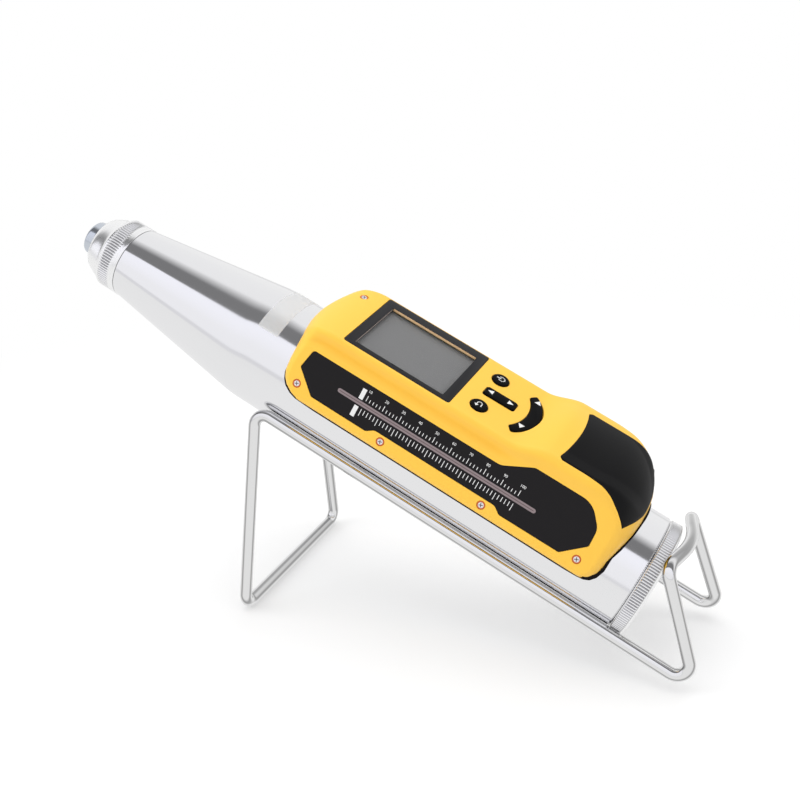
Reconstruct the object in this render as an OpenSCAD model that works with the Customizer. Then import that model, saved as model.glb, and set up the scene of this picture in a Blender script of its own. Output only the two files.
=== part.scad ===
// Rebound test hammer with a digital display, lying on a bent wire rest.
// The hammer is drawn along X with the seam of its front cap at x = 0, the rear cover
// at high x and the display facing +Z, and is then laid on the sloping rods of the rest.

/* [Barrel] */
// Outside diameter of the barrel
barrel_d = 50.6; // [49:0.2:52]
// Bore of the barrel
bore_d = 40; // [39:0.5:41]
// Diameter of the cone where it meets the front cap
cone_front_d = 31.4; // [30:0.2:33]
// Length of the cone
cone_l = 69; // [64:1:74]
// Rear end of the barrel, from the front seam
barrel_end = 247.2; // [246.8:0.1:248]

/* [Caps] */
// Length of the front cap ahead of the seam
cap_l = 19; // [18:0.5:21]
// Diameter of the knurled band on the front cap
cap_d = 32; // [31.6:0.1:33]
// Teeth in the front knurl
front_teeth = 84; // [60:2:110]
// Teeth in the rear knurl
rear_teeth = 132; // [90:2:160]
// Depth of both knurls
knurl_depth = 0.45; // [0.3:0.05:0.6]
// Length of the rear cover behind the barrel
rear_l = 6.4; // [6:0.2:8]

/* [Mechanism] */
// Diameter of the impact plunger
plunger_d = 15; // [14.6:0.1:15.2]
// Length of the impact plunger
plunger_l = 104; // [100:1:108]
// How far the locked plunger stands out of the cap
plunger_out = 5; // [4:0.5:7]
// Stroke of the plunger and of the hammer mass
stroke = 75; // [70:1:75]
// Diameter of the guide bar
bar_d = 8; // [7.5:0.1:8.4]
// Diameter of the hammer mass
mass_d = 34; // [31:0.5:36]
// Diameter of the front neck of the hammer mass
mass_neck_d = 18.4; // [17:0.2:18.6]
// Length of the thick part of the hammer mass
mass_l = 40.8; // [38:0.1:43]
// Wire of the impact spring
impact_wire = 1.8; // [1.4:0.1:2]
// Turns of the impact spring
impact_turns = 17; // [12:1:20]
// Wire of the compression spring
return_wire = 1.4; // [1.2:0.1:1.5]
// Turns of the compression spring
return_turns = 6; // [4:1:7]
// Thickness of the guide disk
disk_t = 6; // [5.6:0.1:6.4]
// Opening angle of the pawl when it has let the mass go
pawl_open = 18; // [15:1:20]
// Running clearance on every radius
fit = 0.06; // [0.03:0.01:0.08]

/* [Display housing] */
// Front edge of the housing, from the seam of the front cap
house_x0 = 87; // [84:0.5:90]
// Rear edge of the housing
house_x1 = 238; // [237:0.5:240]
// Height of the flat top above the black base
top_clear = 11.4; // [11:0.1:12.4]
// Half width of the top beside the display
top_w = 20.8; // [20.4:0.1:22]
// Extra height of the palm rest
palm_h = 5.2; // [3:0.2:6]
// Wall of the housing
wall = 2.2; // [2:0.1:2.4]
// Roll of the scale face away from the top
face_roll = 65; // [62:0.5:67]
// Distance of the scale face from the barrel axis
face_d = 33.3; // [33:0.1:34]
// Thickness of the black base under the housing
base_t = 2; // [1.8:0.1:2.2]
// Thickness of the rubber palm pad
pad_t = 1.5; // [1.2:0.1:1.7]

/* [Scale] */
// Position of the zero mark, from the front seam
scale_x0 = 119.1; // [117:0.1:121]
// Thickness of the scale panel
panel_t = 1.2; // [1:0.1:1.3]
// Height of the pointer slot on the scale face
slot_u = 9.1; // [8.6:0.1:9.6]
// Width of the pointer slot
slot_w = 2; // [1.8:0.1:2.4]
// Length of the pointer slot
slot_l = 88; // [86:1:90]
// Diameter of the pointer rod
rod_d = 2.4; // [2:0.1:2.6]

/* [Display and keys] */
// Length of the display frame
bezel_l = 47.4; // [46:0.2:49]
// Width of the display frame
bezel_w = 38.4; // [37:0.2:39]
// Length of the display window
lcd_l = 39.6; // [38:0.2:41]
// Width of the display window
lcd_w = 31.2; // [30:0.2:32]
// Middle of the display, from the front seam
lcd_x = 131; // [130:0.5:132]
// Sideways offset of the display frame
bezel_y = 0.5; // [0:0.1:0.8]
// Sideways offset of the display window
lcd_y = -0.4; // [-0.8:0.1:0]
// Diameter of the two round keys
key_d = 7; // [6:0.2:7.6]
// Position of the key cluster, from the front seam
key_x = 168.6; // [168:0.2:169.4]
// Distance of the round keys from the middle line
key_y = 10.4; // [10:0.1:11]
// Travel of a key
key_travel = 0.7; // [0.4:0.1:0.8]
// Radius of the outside of the crescent rocker
crescent_r = 17; // [16.4:0.1:17.6]

/* [Wire rest] */
// Diameter of the wire
wire_d = 5; // [4.6:0.1:5.4]
// Bend radius of the wire, on its middle line
bend_r = 5; // [4.6:0.1:6]
// Half distance between the two rods
rod_y = 25.2; // [24:0.2:25.6]
// Half width of the foot bar
foot_y = 40; // [36:0.5:44]
// Height of the front corners of the rods
front_h = 91; // [84:1:98]
// Distance from the foot bar to the front corners, along the floor
front_lean = 7.5; // [4:0.5:12]
// Distance along the floor from the front corners to the rear corners
rod_run = 181; // [176:1:188]
// Height of the rear peaks
peak_h = 49.8; // [48.5:0.2:51]
// Distance along the floor from the rear corners forward to the peaks
peak_lean = 13.6; // [12:0.2:15]
// Half distance between the peaks
peak_y = 20.4; // [19:0.2:22]
// Rearward bow of the wire between the peaks
bow = 5.6; // [3:0.2:6]
// Gap between the hammer and the wire that carries it
seat_gap = 0.25; // [0.2:0.05:0.5]
// Roll of the hammer in its rest
hammer_roll = 5.5; // [0:0.5:12]

/* [Hidden] */
$fn = 72;
eps = 0.01;
big = 400;

barrel_r = barrel_d / 2;
bore_r = bore_d / 2;
plunger_r = plunger_d / 2;
bar_r = bar_d / 2;
wire_r = wire_d / 2;
rear_end = barrel_end + rear_l;

// Mechanism, from front to rear along the axis
tip_x = -cap_l - plunger_out;
plunger_end = tip_x + plunger_l;
buffer_l = 8;
bar_x0 = plunger_end - 36;
socket_x = bar_x0 - buffer_l;
mass_x0 = plunger_end;
mass_neck_l = 22;
mass_x1 = mass_x0 + mass_neck_l;
mass_x2 = mass_x1 + mass_l;
hook_neck_l = 4.2;
hook_flange_l = 3;
hook_neck_r = 7.5;
hook_flange_r = 10.5;
mass_x4 = mass_x2 + hook_neck_l + hook_flange_l;
disk_x = mass_x4 + stroke + 1;
sleeve_x0 = -11;
sleeve_x1 = 38;
sleeve_r = 9.9;
collar_x = 26;
collar_l = 3;
collar_r = 11.6;
ring_x = -9.6;
ring_l = 2.5;
ring_groove_r = 8.8;
nose_x = ring_x + ring_l + 0.1;
nose_r = 13.5;
felt_x = -15.1;
felt_l = 3.7;

// Housing
base_r = barrel_r + base_t;
top_h = base_r + top_clear;
house_edge = 76;
slot_x0 = scale_x0 - 4.4;
rider_x = scale_x0 - 0.6;
rod_depth = 29;
panel_face = face_d - 0.15;
key_top = top_h + 0.6;
inner_top = top_h - wall;
flange_z = inner_top - 1.4;
board_t = 1.6;
board_z = top_h - 8.3;
board_in = 4;
board_w = 33;
battery_l = 25;
battery_w = 28;
board_x0 = lcd_x - bezel_l / 2 - 1.3;
board_x1 = key_x + 25;
boss_r = 2.4;
screw_r = 1.7;
shank_r = 0.9;
pad_proud = 0.25;

// Places of the cover screws on the scale face: along the axis and up the face
SCREWS = [[99.1, 2.4], [139, 0.3], [184.1, 0.3], [224.1, 2.2]];
top_screw = [99, 12.5];

// Rear of the mechanism: the pawl and the lock
pawl_pin_r = 1.5;
pawl_z = bore_r - 5.5;
pawl_x = disk_x + disk_t / 2;
trip_z = pawl_z - 4.9;
lock_roll = -155;
lock_x = disk_x + disk_t / 2;

// Wire rest, in the frame of the floor
foot_x = -50.8;
front_x = foot_x + front_lean;
rear_x = front_x + rod_run;
peak_x = rear_x - peak_lean;
bow_r = 45;
bow_angle = atan2(bow, peak_y);
bow_x = peak_x + bow - bow_r * (1 / cos(bow_angle) - 1);
tilt = atan2(front_h - wire_r, rod_run);
seat_d = sqrt(pow(barrel_r + wire_r + seat_gap, 2) - rod_y * rod_y);
along = [cos(tilt), -sin(tilt)];
across = [sin(tilt), cos(tilt)];
bow_s = [bow_x - front_x, peak_h - front_h] * along;
hammer_o = [front_x, front_h] + across * seat_d + along * (bow_s - rear_end - seat_gap - wire_r);

REST = [[foot_x, -foot_y, wire_r], [front_x, -rod_y, front_h], [rear_x, -rod_y, wire_r],
    [peak_x, -peak_y, peak_h], [peak_x + bow, 0, peak_h], [peak_x, peak_y, peak_h],
    [rear_x, rod_y, wire_r], [front_x, rod_y, front_h], [foot_x, foot_y, wire_r]];
REST_R = [bend_r, bend_r, bend_r, bend_r, bow_r, bend_r, bend_r, bend_r, bend_r];

// Places and frames
module hammer()
    translate([hammer_o.x, 0, hammer_o.y]) rotate([0, tilt, 0]) rotate([hammer_roll, 0, 0])
        children();
module scale_face() rotate([face_roll, 0, 0]) children();
module lock_frame() translate([lock_x, 0, 0]) rotate([lock_roll, 0, 0]) children();
module axes_at(x, y, z, o)
    multmatrix([[x.x, y.x, z.x, o.x], [x.y, y.y, z.y, o.y], [x.z, y.z, z.z, o.z], [0, 0, 0, 1]])
        children();

// A solid of revolution about the barrel axis, from points of axial place and radius
module turned(points) rotate([0, 90, 0]) rotate_extrude() polygon([for (p = points) [p.y, p.x]]);
module rod_x(x0, x1, r, fn = $fn)
    translate([x0, 0, 0]) rotate([0, 90, 0]) cylinder(h = x1 - x0, r = r, $fn = fn);
module box(lo, hi) translate(lo) cube(hi - lo);

function unit(v) = v / norm(v);
function smooth(t) = let(c = max(0, min(1, t))) c * c * (3 - 2 * c);
function mirrored(points) = concat(points, [for (i = [len(points) - 1 : -1 : 0]) [-points[i].x, points[i].y]]);

// Arc that rounds corner b between a and c, in n steps, never longer than the sides allow
function corner(a, b, c, r, n) =
    let(u = unit(a - b), v = unit(c - b), half = acos(max(-1, min(1, u * v))) / 2,
        t = min(r / tan(half), 0.46 * norm(a - b), 0.46 * norm(c - b)), rr = t * tan(half),
        o = b + unit(u + v) * rr / sin(half), p = b + u * t - o, q = b + v * t - o)
    [for (i = [0 : n]) let(s = i / n, k = sin(180 - 2 * half))
        o + (sin((1 - s) * (180 - 2 * half)) * p + sin(s * (180 - 2 * half)) * q) / k];
function rounded(points, radii, n = 4) =
    let(m = len(points))
    [for (i = [0 : m - 1]) each corner(points[(i + m - 1) % m], points[i], points[(i + 1) % m], radii[i], n)];

// Toothed disc outline for a straight knurl
function knurl(r, teeth, depth) = [for (i = [0 : 2 * teeth - 1])
    let(a = 180 * i / teeth, k = i % 2 == 0 ? r : r - depth) [k * cos(a), k * sin(a)]];
module knurled(x, l, r, teeth)
    translate([x, 0, 0]) rotate([0, 90, 0]) linear_extrude(l) polygon(knurl(r, teeth, knurl_depth));

// Helical spring along the barrel axis: one tube, its ends run flat for a quarter turn
spring_steps = 8;
spring_sides = 6;
function coil_at(x0, l, r, turns, t) =
    let(s = max(0, min(1, (t - 0.25) / (turns - 0.5))), a = 360 * t)
    [x0 + l * s, r * cos(a), r * sin(a)];
function spring_gap(l, wire, turns) = (l - wire) / (turns - 0.5) - wire;
module spring(x0, l, r, wire, turns, name) {
    rings = ceil(spring_steps * turns);
    echo(str(name, " least gap between turns ", spring_gap(l, wire, turns), " mm"));
    points = [for (i = [0 : rings], k = [0 : spring_sides - 1])
        let(t = i * turns / rings, p = coil_at(x0 + wire / 2, l - wire, r, turns, t),
            a = 360 * t, d = unit([(l - wire) / (turns - 0.5), -2 * PI * r * sin(a), 2 * PI * r * cos(a)]),
            u = [0, cos(a), sin(a)], v = cross(d, u), b = 360 * k / spring_sides)
        p + wire / 2 * (cos(b) * u + sin(b) * v)];
    last = rings * spring_sides;
    polyhedron(points, concat(
        [[for (k = [0 : spring_sides - 1]) k]],
        [for (i = [0 : rings - 1], k = [0 : spring_sides - 1])
            let(a = i * spring_sides + k, b = i * spring_sides + (k + 1) % spring_sides)
            each [[a, a + spring_sides, b], [b, a + spring_sides, b + spring_sides]]],
        [[for (k = [spring_sides - 1 : -1 : 0]) last + k]]));
}

// Wire rest: straight lengths and true bends along a closed path. Each straight length is a
// hair thinner than the bends and runs a little way into them.
lap = 0.3;
function wire_in(i, m) = unit(REST[i] - REST[(i + m - 1) % m]);
function wire_out(i, m) = unit(REST[(i + 1) % m] - REST[i]);
function wire_turn(i, m) = acos(wire_in(i, m) * wire_out(i, m));
function wire_trim(i, m) = REST_R[i] * tan(wire_turn(i, m) / 2);
module wire_rest() color("silver") {
    m = len(REST);
    for (i = [0 : m - 1]) {
        a = wire_in(i, m);
        b = wire_out(i, m);
        turn = wire_turn(i, m);
        k = unit(cross(a, b));
        o = REST[i] + unit(b - a) * REST_R[i] / cos(turn / 2);
        x = unit(REST[i] - a * wire_trim(i, m) - o);
        axes_at(x, cross(k, x), k, o)
            rotate_extrude(angle = turn) translate([REST_R[i], 0]) circle(wire_r, $fn = 32);
        j = (i + 1) % m;
        side = unit(cross(b, abs(b.z) > 0.9 ? [1, 0, 0] : [0, 0, 1]));
        start = REST[i] + b * (wire_trim(i, m) - lap);
        length = norm(REST[j] - REST[i]) - wire_trim(i, m) - wire_trim(j, m) + 2 * lap;
        axes_at(side, cross(b, side), b, start) cylinder(h = length, r = wire_r - 0.02, $fn = 32);
    }
}

// Barrel: cone and tube in one turned piece, with the nose that carries the cap
module barrel() hammer() color("gainsboro") difference() {
    turned([[nose_x, sleeve_r + 0.05], [nose_x, nose_r], [0, nose_r], [0, cone_front_d / 2],
        [cone_l - 3, barrel_r - 0.35], [cone_l, barrel_r], [barrel_end - 0.8, barrel_r],
        [barrel_end, barrel_r - 0.8], [barrel_end, bore_r], [62, bore_r], [14, sleeve_r + 0.05]]);
    scale_face() hull() for (x = [rider_x - 4.2, rider_x + stroke + 4.2])
        translate([x, slot_u, bore_r / 2]) cylinder(h = barrel_r, r = 2.2);
    lock_frame() {
        cylinder(h = big, r = 2.4 + fit);
        translate([0, 0, bore_r + 3]) cylinder(h = big, r = 5.9);
    }
}

module front_cap() hammer() color("silver") difference() {
    union() {
        turned([[-cap_l, 0], [-cap_l, 8.6], [-cap_l + 0.5, 9.6], [-cap_l + 1.6, 11.3], [-cap_l + 3, 12.5],
            [-cap_l + 6, 13.9], [-cap_l + 8.5, 14.8], [-9.4, 15.2],
            [-1.6, 15.2], [-1.6, cap_d / 2], [-0.35, cap_d / 2], [-0.1, cap_d / 2 - 0.3], [-0.1, 0]]);
        knurled(-9.2, 7.7, cap_d / 2 - 0.1, front_teeth);
    }
    rod_x(-cap_l - 1, 1, plunger_r + 0.4);
    rod_x(felt_x - 0.2, 1, 11);
    rod_x(felt_x + felt_l + 0.2, 1, nose_r + 0.05);
}

module felt_seal() hammer() color("dimgray") difference() {
    rod_x(felt_x, felt_x + felt_l, 10.9);
    rod_x(felt_x - 1, felt_x + felt_l + 1, plunger_r + 0.3);
}

// Two half rings that hold the guide sleeve between the nose and the cap
module two_part_ring() hammer() color("gray") difference() {
    rod_x(ring_x, ring_x + ring_l, 12.8);
    rod_x(ring_x - 1, ring_x + ring_l + 1, ring_groove_r + 0.05);
    box([ring_x - 1, -0.25, -20], [ring_x + ring_l + 1, 0.25, 20]);
}

module guide_sleeve() hammer() color("darkgoldenrod") difference() {
    turned([[sleeve_x0, 0], [sleeve_x0, sleeve_r], [ring_x - 0.05, sleeve_r], [ring_x - 0.05, ring_groove_r],
        [ring_x + ring_l + 0.05, ring_groove_r], [ring_x + ring_l + 0.05, sleeve_r], [collar_x, sleeve_r],
        [collar_x, collar_r], [collar_x + collar_l, collar_r],
        [collar_x + collar_l, sleeve_r - 0.9], [sleeve_x1, sleeve_r - 0.9], [sleeve_x1, 0]]);
    rod_x(sleeve_x0 - 1, sleeve_x1 + 1, plunger_r + fit);
}

// Rear cover: knurled rim, threaded spigot and the boss of the trip screw
module rear_cover() hammer() color("silver") difference() {
    union() {
        turned([[barrel_end + 0.15, 0], [barrel_end + 0.15, barrel_r - 0.8],
            [rear_end - 2, barrel_r - 0.8], [rear_end - 2, barrel_r - 0.2], [rear_end - 1.1, barrel_r - 0.6],
            [rear_end - 0.35, barrel_r - 1.6], [rear_end, barrel_r - 2.8], [rear_end, 0]]);
        knurled(barrel_end + 0.9, 3.55, barrel_r, rear_teeth);
        rod_x(barrel_end - 9, barrel_end + 0.2, bore_r - 0.05);
    }
    rod_x(barrel_end - 10, rear_end - 4, bore_r - 2.3);
    translate([0, 0, trip_z]) rod_x(rear_end - 6, rear_end - 1.2, 2.5);
    rod_x(rear_end - 0.6, rear_end + 1, 9);
}

module trip_screw() hammer() color("slategray")
    translate([0, 0, trip_z]) {
        rod_x(pawl_x + 5.6, rear_end - 1.3, 2.5);
    }

module lock_nut() hammer() color("slategray") translate([0, 0, trip_z]) difference() {
    rotate([30, 0, 0]) rod_x(rear_end - 8, rear_end - 4.05, 3.9, fn = 6);
    rod_x(rear_end - 9, rear_end - 3, 2.5 + eps);
}

module impact_spring() hammer() color("lightsteelblue")
    spring(collar_x + collar_l + 0.1, mass_x1 - collar_x - collar_l - 0.2, 11.3, impact_wire, impact_turns,
        "impact_spring");

module compression_spring() hammer() color("lightsteelblue")
    spring(disk_x + disk_t + 0.1, rear_end - 4 - disk_x - disk_t - 0.2, bore_r - 4.4, return_wire, return_turns,
        "compression_spring");

// Plunger: domed nose, flat for the anvil end, socket for the guide bar behind
module impact_plunger() hammer() color("silver") difference() {
    turned([[tip_x, 0], [tip_x, plunger_r - 2.4], [tip_x + 0.25, plunger_r - 1], [tip_x + 0.6, plunger_r - 0.3],
        [tip_x + 1, plunger_r], [-cap_l - 0.4, plunger_r], [-cap_l - 0.4, plunger_r - 0.25],
        [-cap_l + 0.2, plunger_r - 0.25], [-cap_l + 0.2, plunger_r],
        [plunger_end - 0.6, plunger_r], [plunger_end, plunger_r - 0.6], [plunger_end, 0]]);
    rod_x(socket_x, plunger_end + 1, bar_r + 0.1);
}

module buffer_spring() hammer() color("lightsteelblue")
    spring(socket_x + 0.1, buffer_l - 0.2, bar_r - 0.9, 0.8, 4, "buffer_spring");

module guide_bar() hammer() color("silver")
    turned([[bar_x0, 0], [bar_x0, bar_r - 0.6], [bar_x0 + 0.6, bar_r], [disk_x + disk_t + 1, bar_r],
        [disk_x + disk_t + 1, 0]]);

module guide_disk() hammer() color("darkgoldenrod") difference() {
    turned([[disk_x, 0], [disk_x, bore_r - fit], [disk_x + 1.4, bore_r - fit], [disk_x + 1.4, bore_r - 1.4],
        [disk_x + disk_t - 1.4, bore_r - 1.4], [disk_x + disk_t - 1.4, bore_r - fit],
        [disk_x + disk_t, bore_r - fit], [disk_x + disk_t, 0]]);
    rod_x(disk_x - 1, disk_x + disk_t + 1, bar_r + eps);
    box([disk_x - 1, -2.8, pawl_z - 7.7], [disk_x + disk_t + 1, 2.8, bore_r + 1]);
    translate([pawl_x, 0, pawl_z]) rotate([90, 0, 0]) cylinder(h = 13, r = pawl_pin_r + eps, center = true);
    for (a = [120, 240]) rotate([a, 0, 0]) translate([0, 0, 11.5]) rod_x(disk_x - 1, disk_x + disk_t + 1, 3);
}

module pawl_pin() hammer() color("silver")
    translate([pawl_x, 0, pawl_z]) rotate([90, 0, 0]) cylinder(h = 12, r = pawl_pin_r, center = true);

module pawl_spring() hammer() color("lightsteelblue")
    box([disk_x + 0.2, -2.2, pawl_z + 4.2], [disk_x + disk_t - 0.2, 2.2, pawl_z + 4.6]);

// Pawl: hook in front that holds the rear flange of the mass, tail that meets the trip screw
module pawl() hammer() color("gray")
    translate([pawl_x, 0, pawl_z]) rotate([0, pawl_open, 0]) rotate([90, 0, 0]) difference() {
        hook = hook_neck_r + 0.8 - pawl_z;
        hook_x = disk_x - 1 - hook_flange_l - pawl_x;
        translate([0, 0, -2.5]) linear_extrude(5)
            polygon([[hook_x - 2.4, 1.5], [hook_x - 2.4, hook], [hook_x - 0.5, hook], [hook_x - 0.5, -2.2],
                [-2.6, -2.6], [2.4, -5.4], [5.2, -5.6], [5.2, -2.4], [2.5, 0.5], [1.2, 2.4], [-2, 2.4]]);
        cylinder(h = 8, r = pawl_pin_r + fit, center = true);
    }

// Hammer mass: neck for the spring, heavy body, hooked flange behind, bored for the bar
module hammer_mass() hammer() color("dimgray") difference() {
    turned([[mass_x0 + 0.05, 0], [mass_x0 + 0.05, mass_neck_d / 2 - 1], [mass_x0 + 1, mass_neck_d / 2],
        [mass_x1, mass_neck_d / 2], [mass_x1, mass_d / 2 - 1], [mass_x1 + 1, mass_d / 2],
        [mass_x2 - 1, mass_d / 2], [mass_x2, mass_d / 2 - 1], [mass_x2, hook_neck_r],
        [mass_x2 + hook_neck_l, hook_neck_r], [mass_x2 + hook_neck_l, hook_flange_r],
        [mass_x4 - 1.2, hook_flange_r], [mass_x4, hook_flange_r - 1.2], [mass_x4, 0]]);
    rod_x(mass_x0 - 1, mass_x4 + 1, bar_r + fit);
}

// Pointer gear behind the scale
rod_x0 = slot_x0 - 4;
rod_x1 = slot_x0 + slot_l + 4;
module pointer_rod() hammer() color("rosybrown") scale_face()
    translate([0, slot_u, rod_depth]) rod_x(rod_x0 - 2, rod_x1 + 2, rod_d / 2);

module rider() hammer() color("white") scale_face() difference() {
    union() {
        box([rider_x - 3.8, slot_u - 3.6, base_r + 0.5], [rider_x + 3.8, slot_u + 3.6, rod_depth + 1.8]);
        box([rider_x - 2.4, slot_u - 1.6, 18.9], [rider_x + 2.4, slot_u + 1.6, base_r + 0.6]);
        box([rider_x - 0.6, slot_u - 0.8, rod_depth + 1.7], [rider_x + 0.6, slot_u + 0.8, panel_face - panel_t - 0.1]);
        box([rider_x - 2, slot_u - 5.8, 28.7], [rider_x + 2, slot_u - 3.5, 29.7]);
    }
    translate([0, slot_u, rod_depth]) rod_x(rider_x - 9, rider_x + 9, rod_d / 2 + fit);
}

module sensor_strip() hammer() color("darkgreen") scale_face()
    box([slot_x0, slot_u - 6.2, 27.6], [slot_x0 + slot_l, slot_u - 4.1, 28.4]);

// Side outline of the housing above the given height, with round lower corners
front_back = 3.6;
rear_back = 4.2;
module side_prism(grow, z0, slack = 0)
    rotate([90, 0, 0]) linear_extrude(big, center = true)
        polygon(rounded([[house_x0 + front_back - grow, z0], [house_x1 - rear_back + grow, z0],
            [house_x1 - rear_back + grow, 18], [house_x1 + grow + slack, 28], [house_x1 + grow + slack, 90],
            [house_x0 - grow - slack, 90], [house_x0 - grow - slack, 28], [house_x0 + front_back - grow, 19]],
            [7, 6, 3, 3, 1, 1, 3, 3], 6));

// Black base: a saddle on the barrel with posts for the boards and bosses for the screws
edge_z = base_r * cos(house_edge);
module base_frame() hammer() color([0.12, 0.12, 0.13]) difference() {
    union() {
        intersection() {
            rod_x(house_x0 - 2, house_x1 + 2, base_r + 0.02);
            side_prism(1.2, edge_z - 1.3);
        }
        for (x = [board_x0 + board_in, board_x1 - board_in], y = [-1, 1] * (board_w / 2 - 4.5))
            translate([x, y, barrel_r - 3.5]) cylinder(h = board_z - 0.05 - barrel_r + 3.5, r = 2.5);
        for (s = [-1, 1])
            box([board_x1 + 4.4, 10 * s - 1, 22], [board_x1 + 2.4 + battery_l, 10 * s + 1, board_z - 0.6]);
        for (side = [1, -1]) mirrored_side(side) for (p = SCREWS)
            translate([p.x, p.y, barrel_r - 1]) cylinder(h = face_d - wall - 0.1 - barrel_r + 1, r = boss_r);
        translate([top_screw.x, top_screw.y, barrel_r - 4]) cylinder(h = 7, r = boss_r);
        scale_face() {
            for (x = [rod_x0, rod_x1])
                box([x - 1.6, slot_u - 2.4, barrel_r - 3], [x + 1.6, slot_u + 2.4, rod_depth + 1.7]);
            box([slot_x0, slot_u - 7, barrel_r - 1], [slot_x0 + slot_l, slot_u - 5, 27.55]);
        }
    }
    rod_x(0, big, barrel_r + 0.03);
    scale_face() {
        hull() for (x = [rider_x - 4.4, rider_x + stroke + 4.4])
            translate([x, slot_u, 0]) cylinder(h = base_r + 0.4, r = 2.4);
        translate([0, slot_u, rod_depth]) rod_x(rod_x0 - 9, rod_x1 + 9, rod_d / 2 + eps);
    }
    for (side = [1, -1]) mirrored_side(side) for (p = SCREWS)
        translate([p.x, p.y, barrel_r]) cylinder(h = big, r = shank_r);
    translate([top_screw.x, top_screw.y, barrel_r - 4]) cylinder(h = big, r = shank_r);
}
module mirrored_side(side) if (side > 0) scale_face() children(); else mirror([0, 1, 0]) scale_face() children();

// Outer skin of the display housing, shrunk inwards by t, as one lofted shell.
// Each section runs up the scale face, through the groove, over the top and down the far side.
nose_l = 19;
tail_l = 20.6;
plan_l = 28.4;
function nose_at(x) = let(s = 1 - max(0, min(1, (x - house_x0) / nose_l))) pow(1 - s * s, 0.6);
function tail_at(x, l = tail_l) = let(s = 1 - max(0, min(1, (house_x1 - x) / l))) pow(1 - s * s, 0.74);
function lean(x, z) = front_back * smooth((28 - z) / 9) * max(0, 1 - (x - house_x0) / nose_l)
    - rear_back * smooth((29 - z) / 11) * max(0, 1 - (house_x1 - x) / tail_l);
function ends_at(x) = nose_at(x) * tail_at(x);
function palm_at(x) = smooth((x - 181) / 15.4);
function wide_at(x) = (0.62 + 0.38 * nose_at(x)) * (0.29 + 0.71 * tail_at(x, plan_l));
function on_face(u, d) = [-d * sin(face_roll) + u * cos(face_roll), d * cos(face_roll) + u * sin(face_roll)];
function section(x, t, n) =
    let(e = ends_at(x), palm = palm_at(x), lip = base_r + 1.6 - t,
        h = lip + (top_h + 0.72 * palm_h * palm - t - lip) * e,
        crown = 1.6 * palm * e,
        d = base_r + 1.4 - t + (face_d - base_r - 1.4) * pow(e, 0.35),
        near = (top_w - 1.6 * palm - t) * wide_at(x),
        far = (top_w + 0.2 + 3.3 * palm - t) * wide_at(x),
        foot = [-(base_r - 0.2) * sin(house_edge), edge_z],
        low = on_face(-3, d), high = on_face((20 + 4 * palm) * (0.5 + 0.5 * e), d),
        a = [-near, h], b = [far, h], c = [-low.x, low.y], f = [-foot.x, foot.y])
    concat([foot], corner(foot, low, high, 4, n), corner(low, high, a, 5, n), corner(high, a, b, 2.6 + 3.4 * palm, n),
        [for (i = [1 : 5]) let(s = i / 6, y = -near + 3 + (near + far - 6) * s) [y, h + crown * 4 * s * (1 - s)]],
        corner(a, b, c, 3.2 + 4 * palm, n), corner(b, c, f, 4, n), [f, [0, edge_z - 1]]);
module skin(t, xs, n) {
    rings = [for (x = xs) section(min(max(x, house_x0), house_x1), t, n)];
    m = len(rings[0]);
    last = len(xs) - 1;
    polyhedron([for (i = [0 : last]) for (p = rings[i]) [xs[i] + lean(xs[i], p.y), p.x, p.y]],
        concat([for (k = [0 : m - 3]) [m - 1, k + 1, k]],
            [for (i = [0 : last - 1], k = [0 : m - 1])
                let(a = i * m + k, b = i * m + (k + 1) % m) each [[a, b, a + m], [b, b + m, a + m]]],
            [for (k = [0 : m - 3]) [last * m + m - 1, last * m + k, last * m + k + 1]]));
}
function end_steps(l, n) = [for (i = [0 : n]) l * (1 - cos(90 * i / n))];
OUTER_X = concat([for (s = end_steps(nose_l, 7)) house_x0 + s], [155, 180, 184, 187, 190, 193, 197, 203, 210],
    [for (i = [7 : -1 : 0]) house_x1 - end_steps(tail_l, 7)[i]]);
function inner_x(t) = concat([for (s = end_steps(nose_l - t, 4)) house_x0 + t + s], [155, 180, 186, 191, 197, 206],
    [for (i = [4 : -1 : 0]) house_x1 - t - end_steps(tail_l - t, 4)[i]]);

// Outline of the rubber pad seen from above: hollow front edge, straight sides, bowed rear edge
pad_x0 = 199.5;
pad_w = 34;
PAD_SIDE = [[203, 17], [211, 17.05], [218, 16.9], [223, 16.7], [227.5, 16.9], [230.6, 17.4]];
PAD_REAR = [[232.6, 16.6], [234.6, 13], [236.1, 6.5], [236.5, 0]];
PAD_X = concat([pad_x0 - 5, 203, 210], [for (i = [6 : -1 : 0]) house_x1 - end_steps(tail_l, 6)[i]]);
module pad_prism(grow) translate([0, 0, base_r + 1]) linear_extrude(40) offset(delta = grow)
    polygon(concat([for (i = [0 : 8]) let(y = 1 - i / 4) [pad_x0 + 2.3 * (1 - y * y), pad_w / 2 * y]],
        [for (p = PAD_SIDE) [p.x, -p.y]], [for (p = PAD_REAR) [p.x, -p.y]],
        [for (i = [len(PAD_REAR) - 2 : -1 : 0]) PAD_REAR[i]],
        [for (i = [len(PAD_SIDE) - 1 : -1 : 0]) PAD_SIDE[i]]));

// Outline of the scale panel: wide at both ends, drawn in beside the middle screws
PANEL = [[99.2, 17.2], [97.4, 9], [106.6, 0.9], [131.9, 0.8], [134.9, 3], [188.6, 3], [191.6, 0.8],
    [217.2, 0.9], [225.3, 8.8], [224.8, 16], [218.5, 23.4], [194.5, 23.4], [183, 17.3]];
PANEL_R = [1.5, 0.8, 0.8, 2, 3, 3, 2, 1, 1, 6, 9, 4, 6];
module panel_shape(grow) offset(delta = grow) polygon(rounded(PANEL, PANEL_R, 4));
module slot_shape(w) hull() for (x = [slot_x0 + slot_w / 2, slot_x0 + slot_l - slot_w / 2])
    translate([x, slot_u]) circle(w / 2, $fn = 32);

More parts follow.
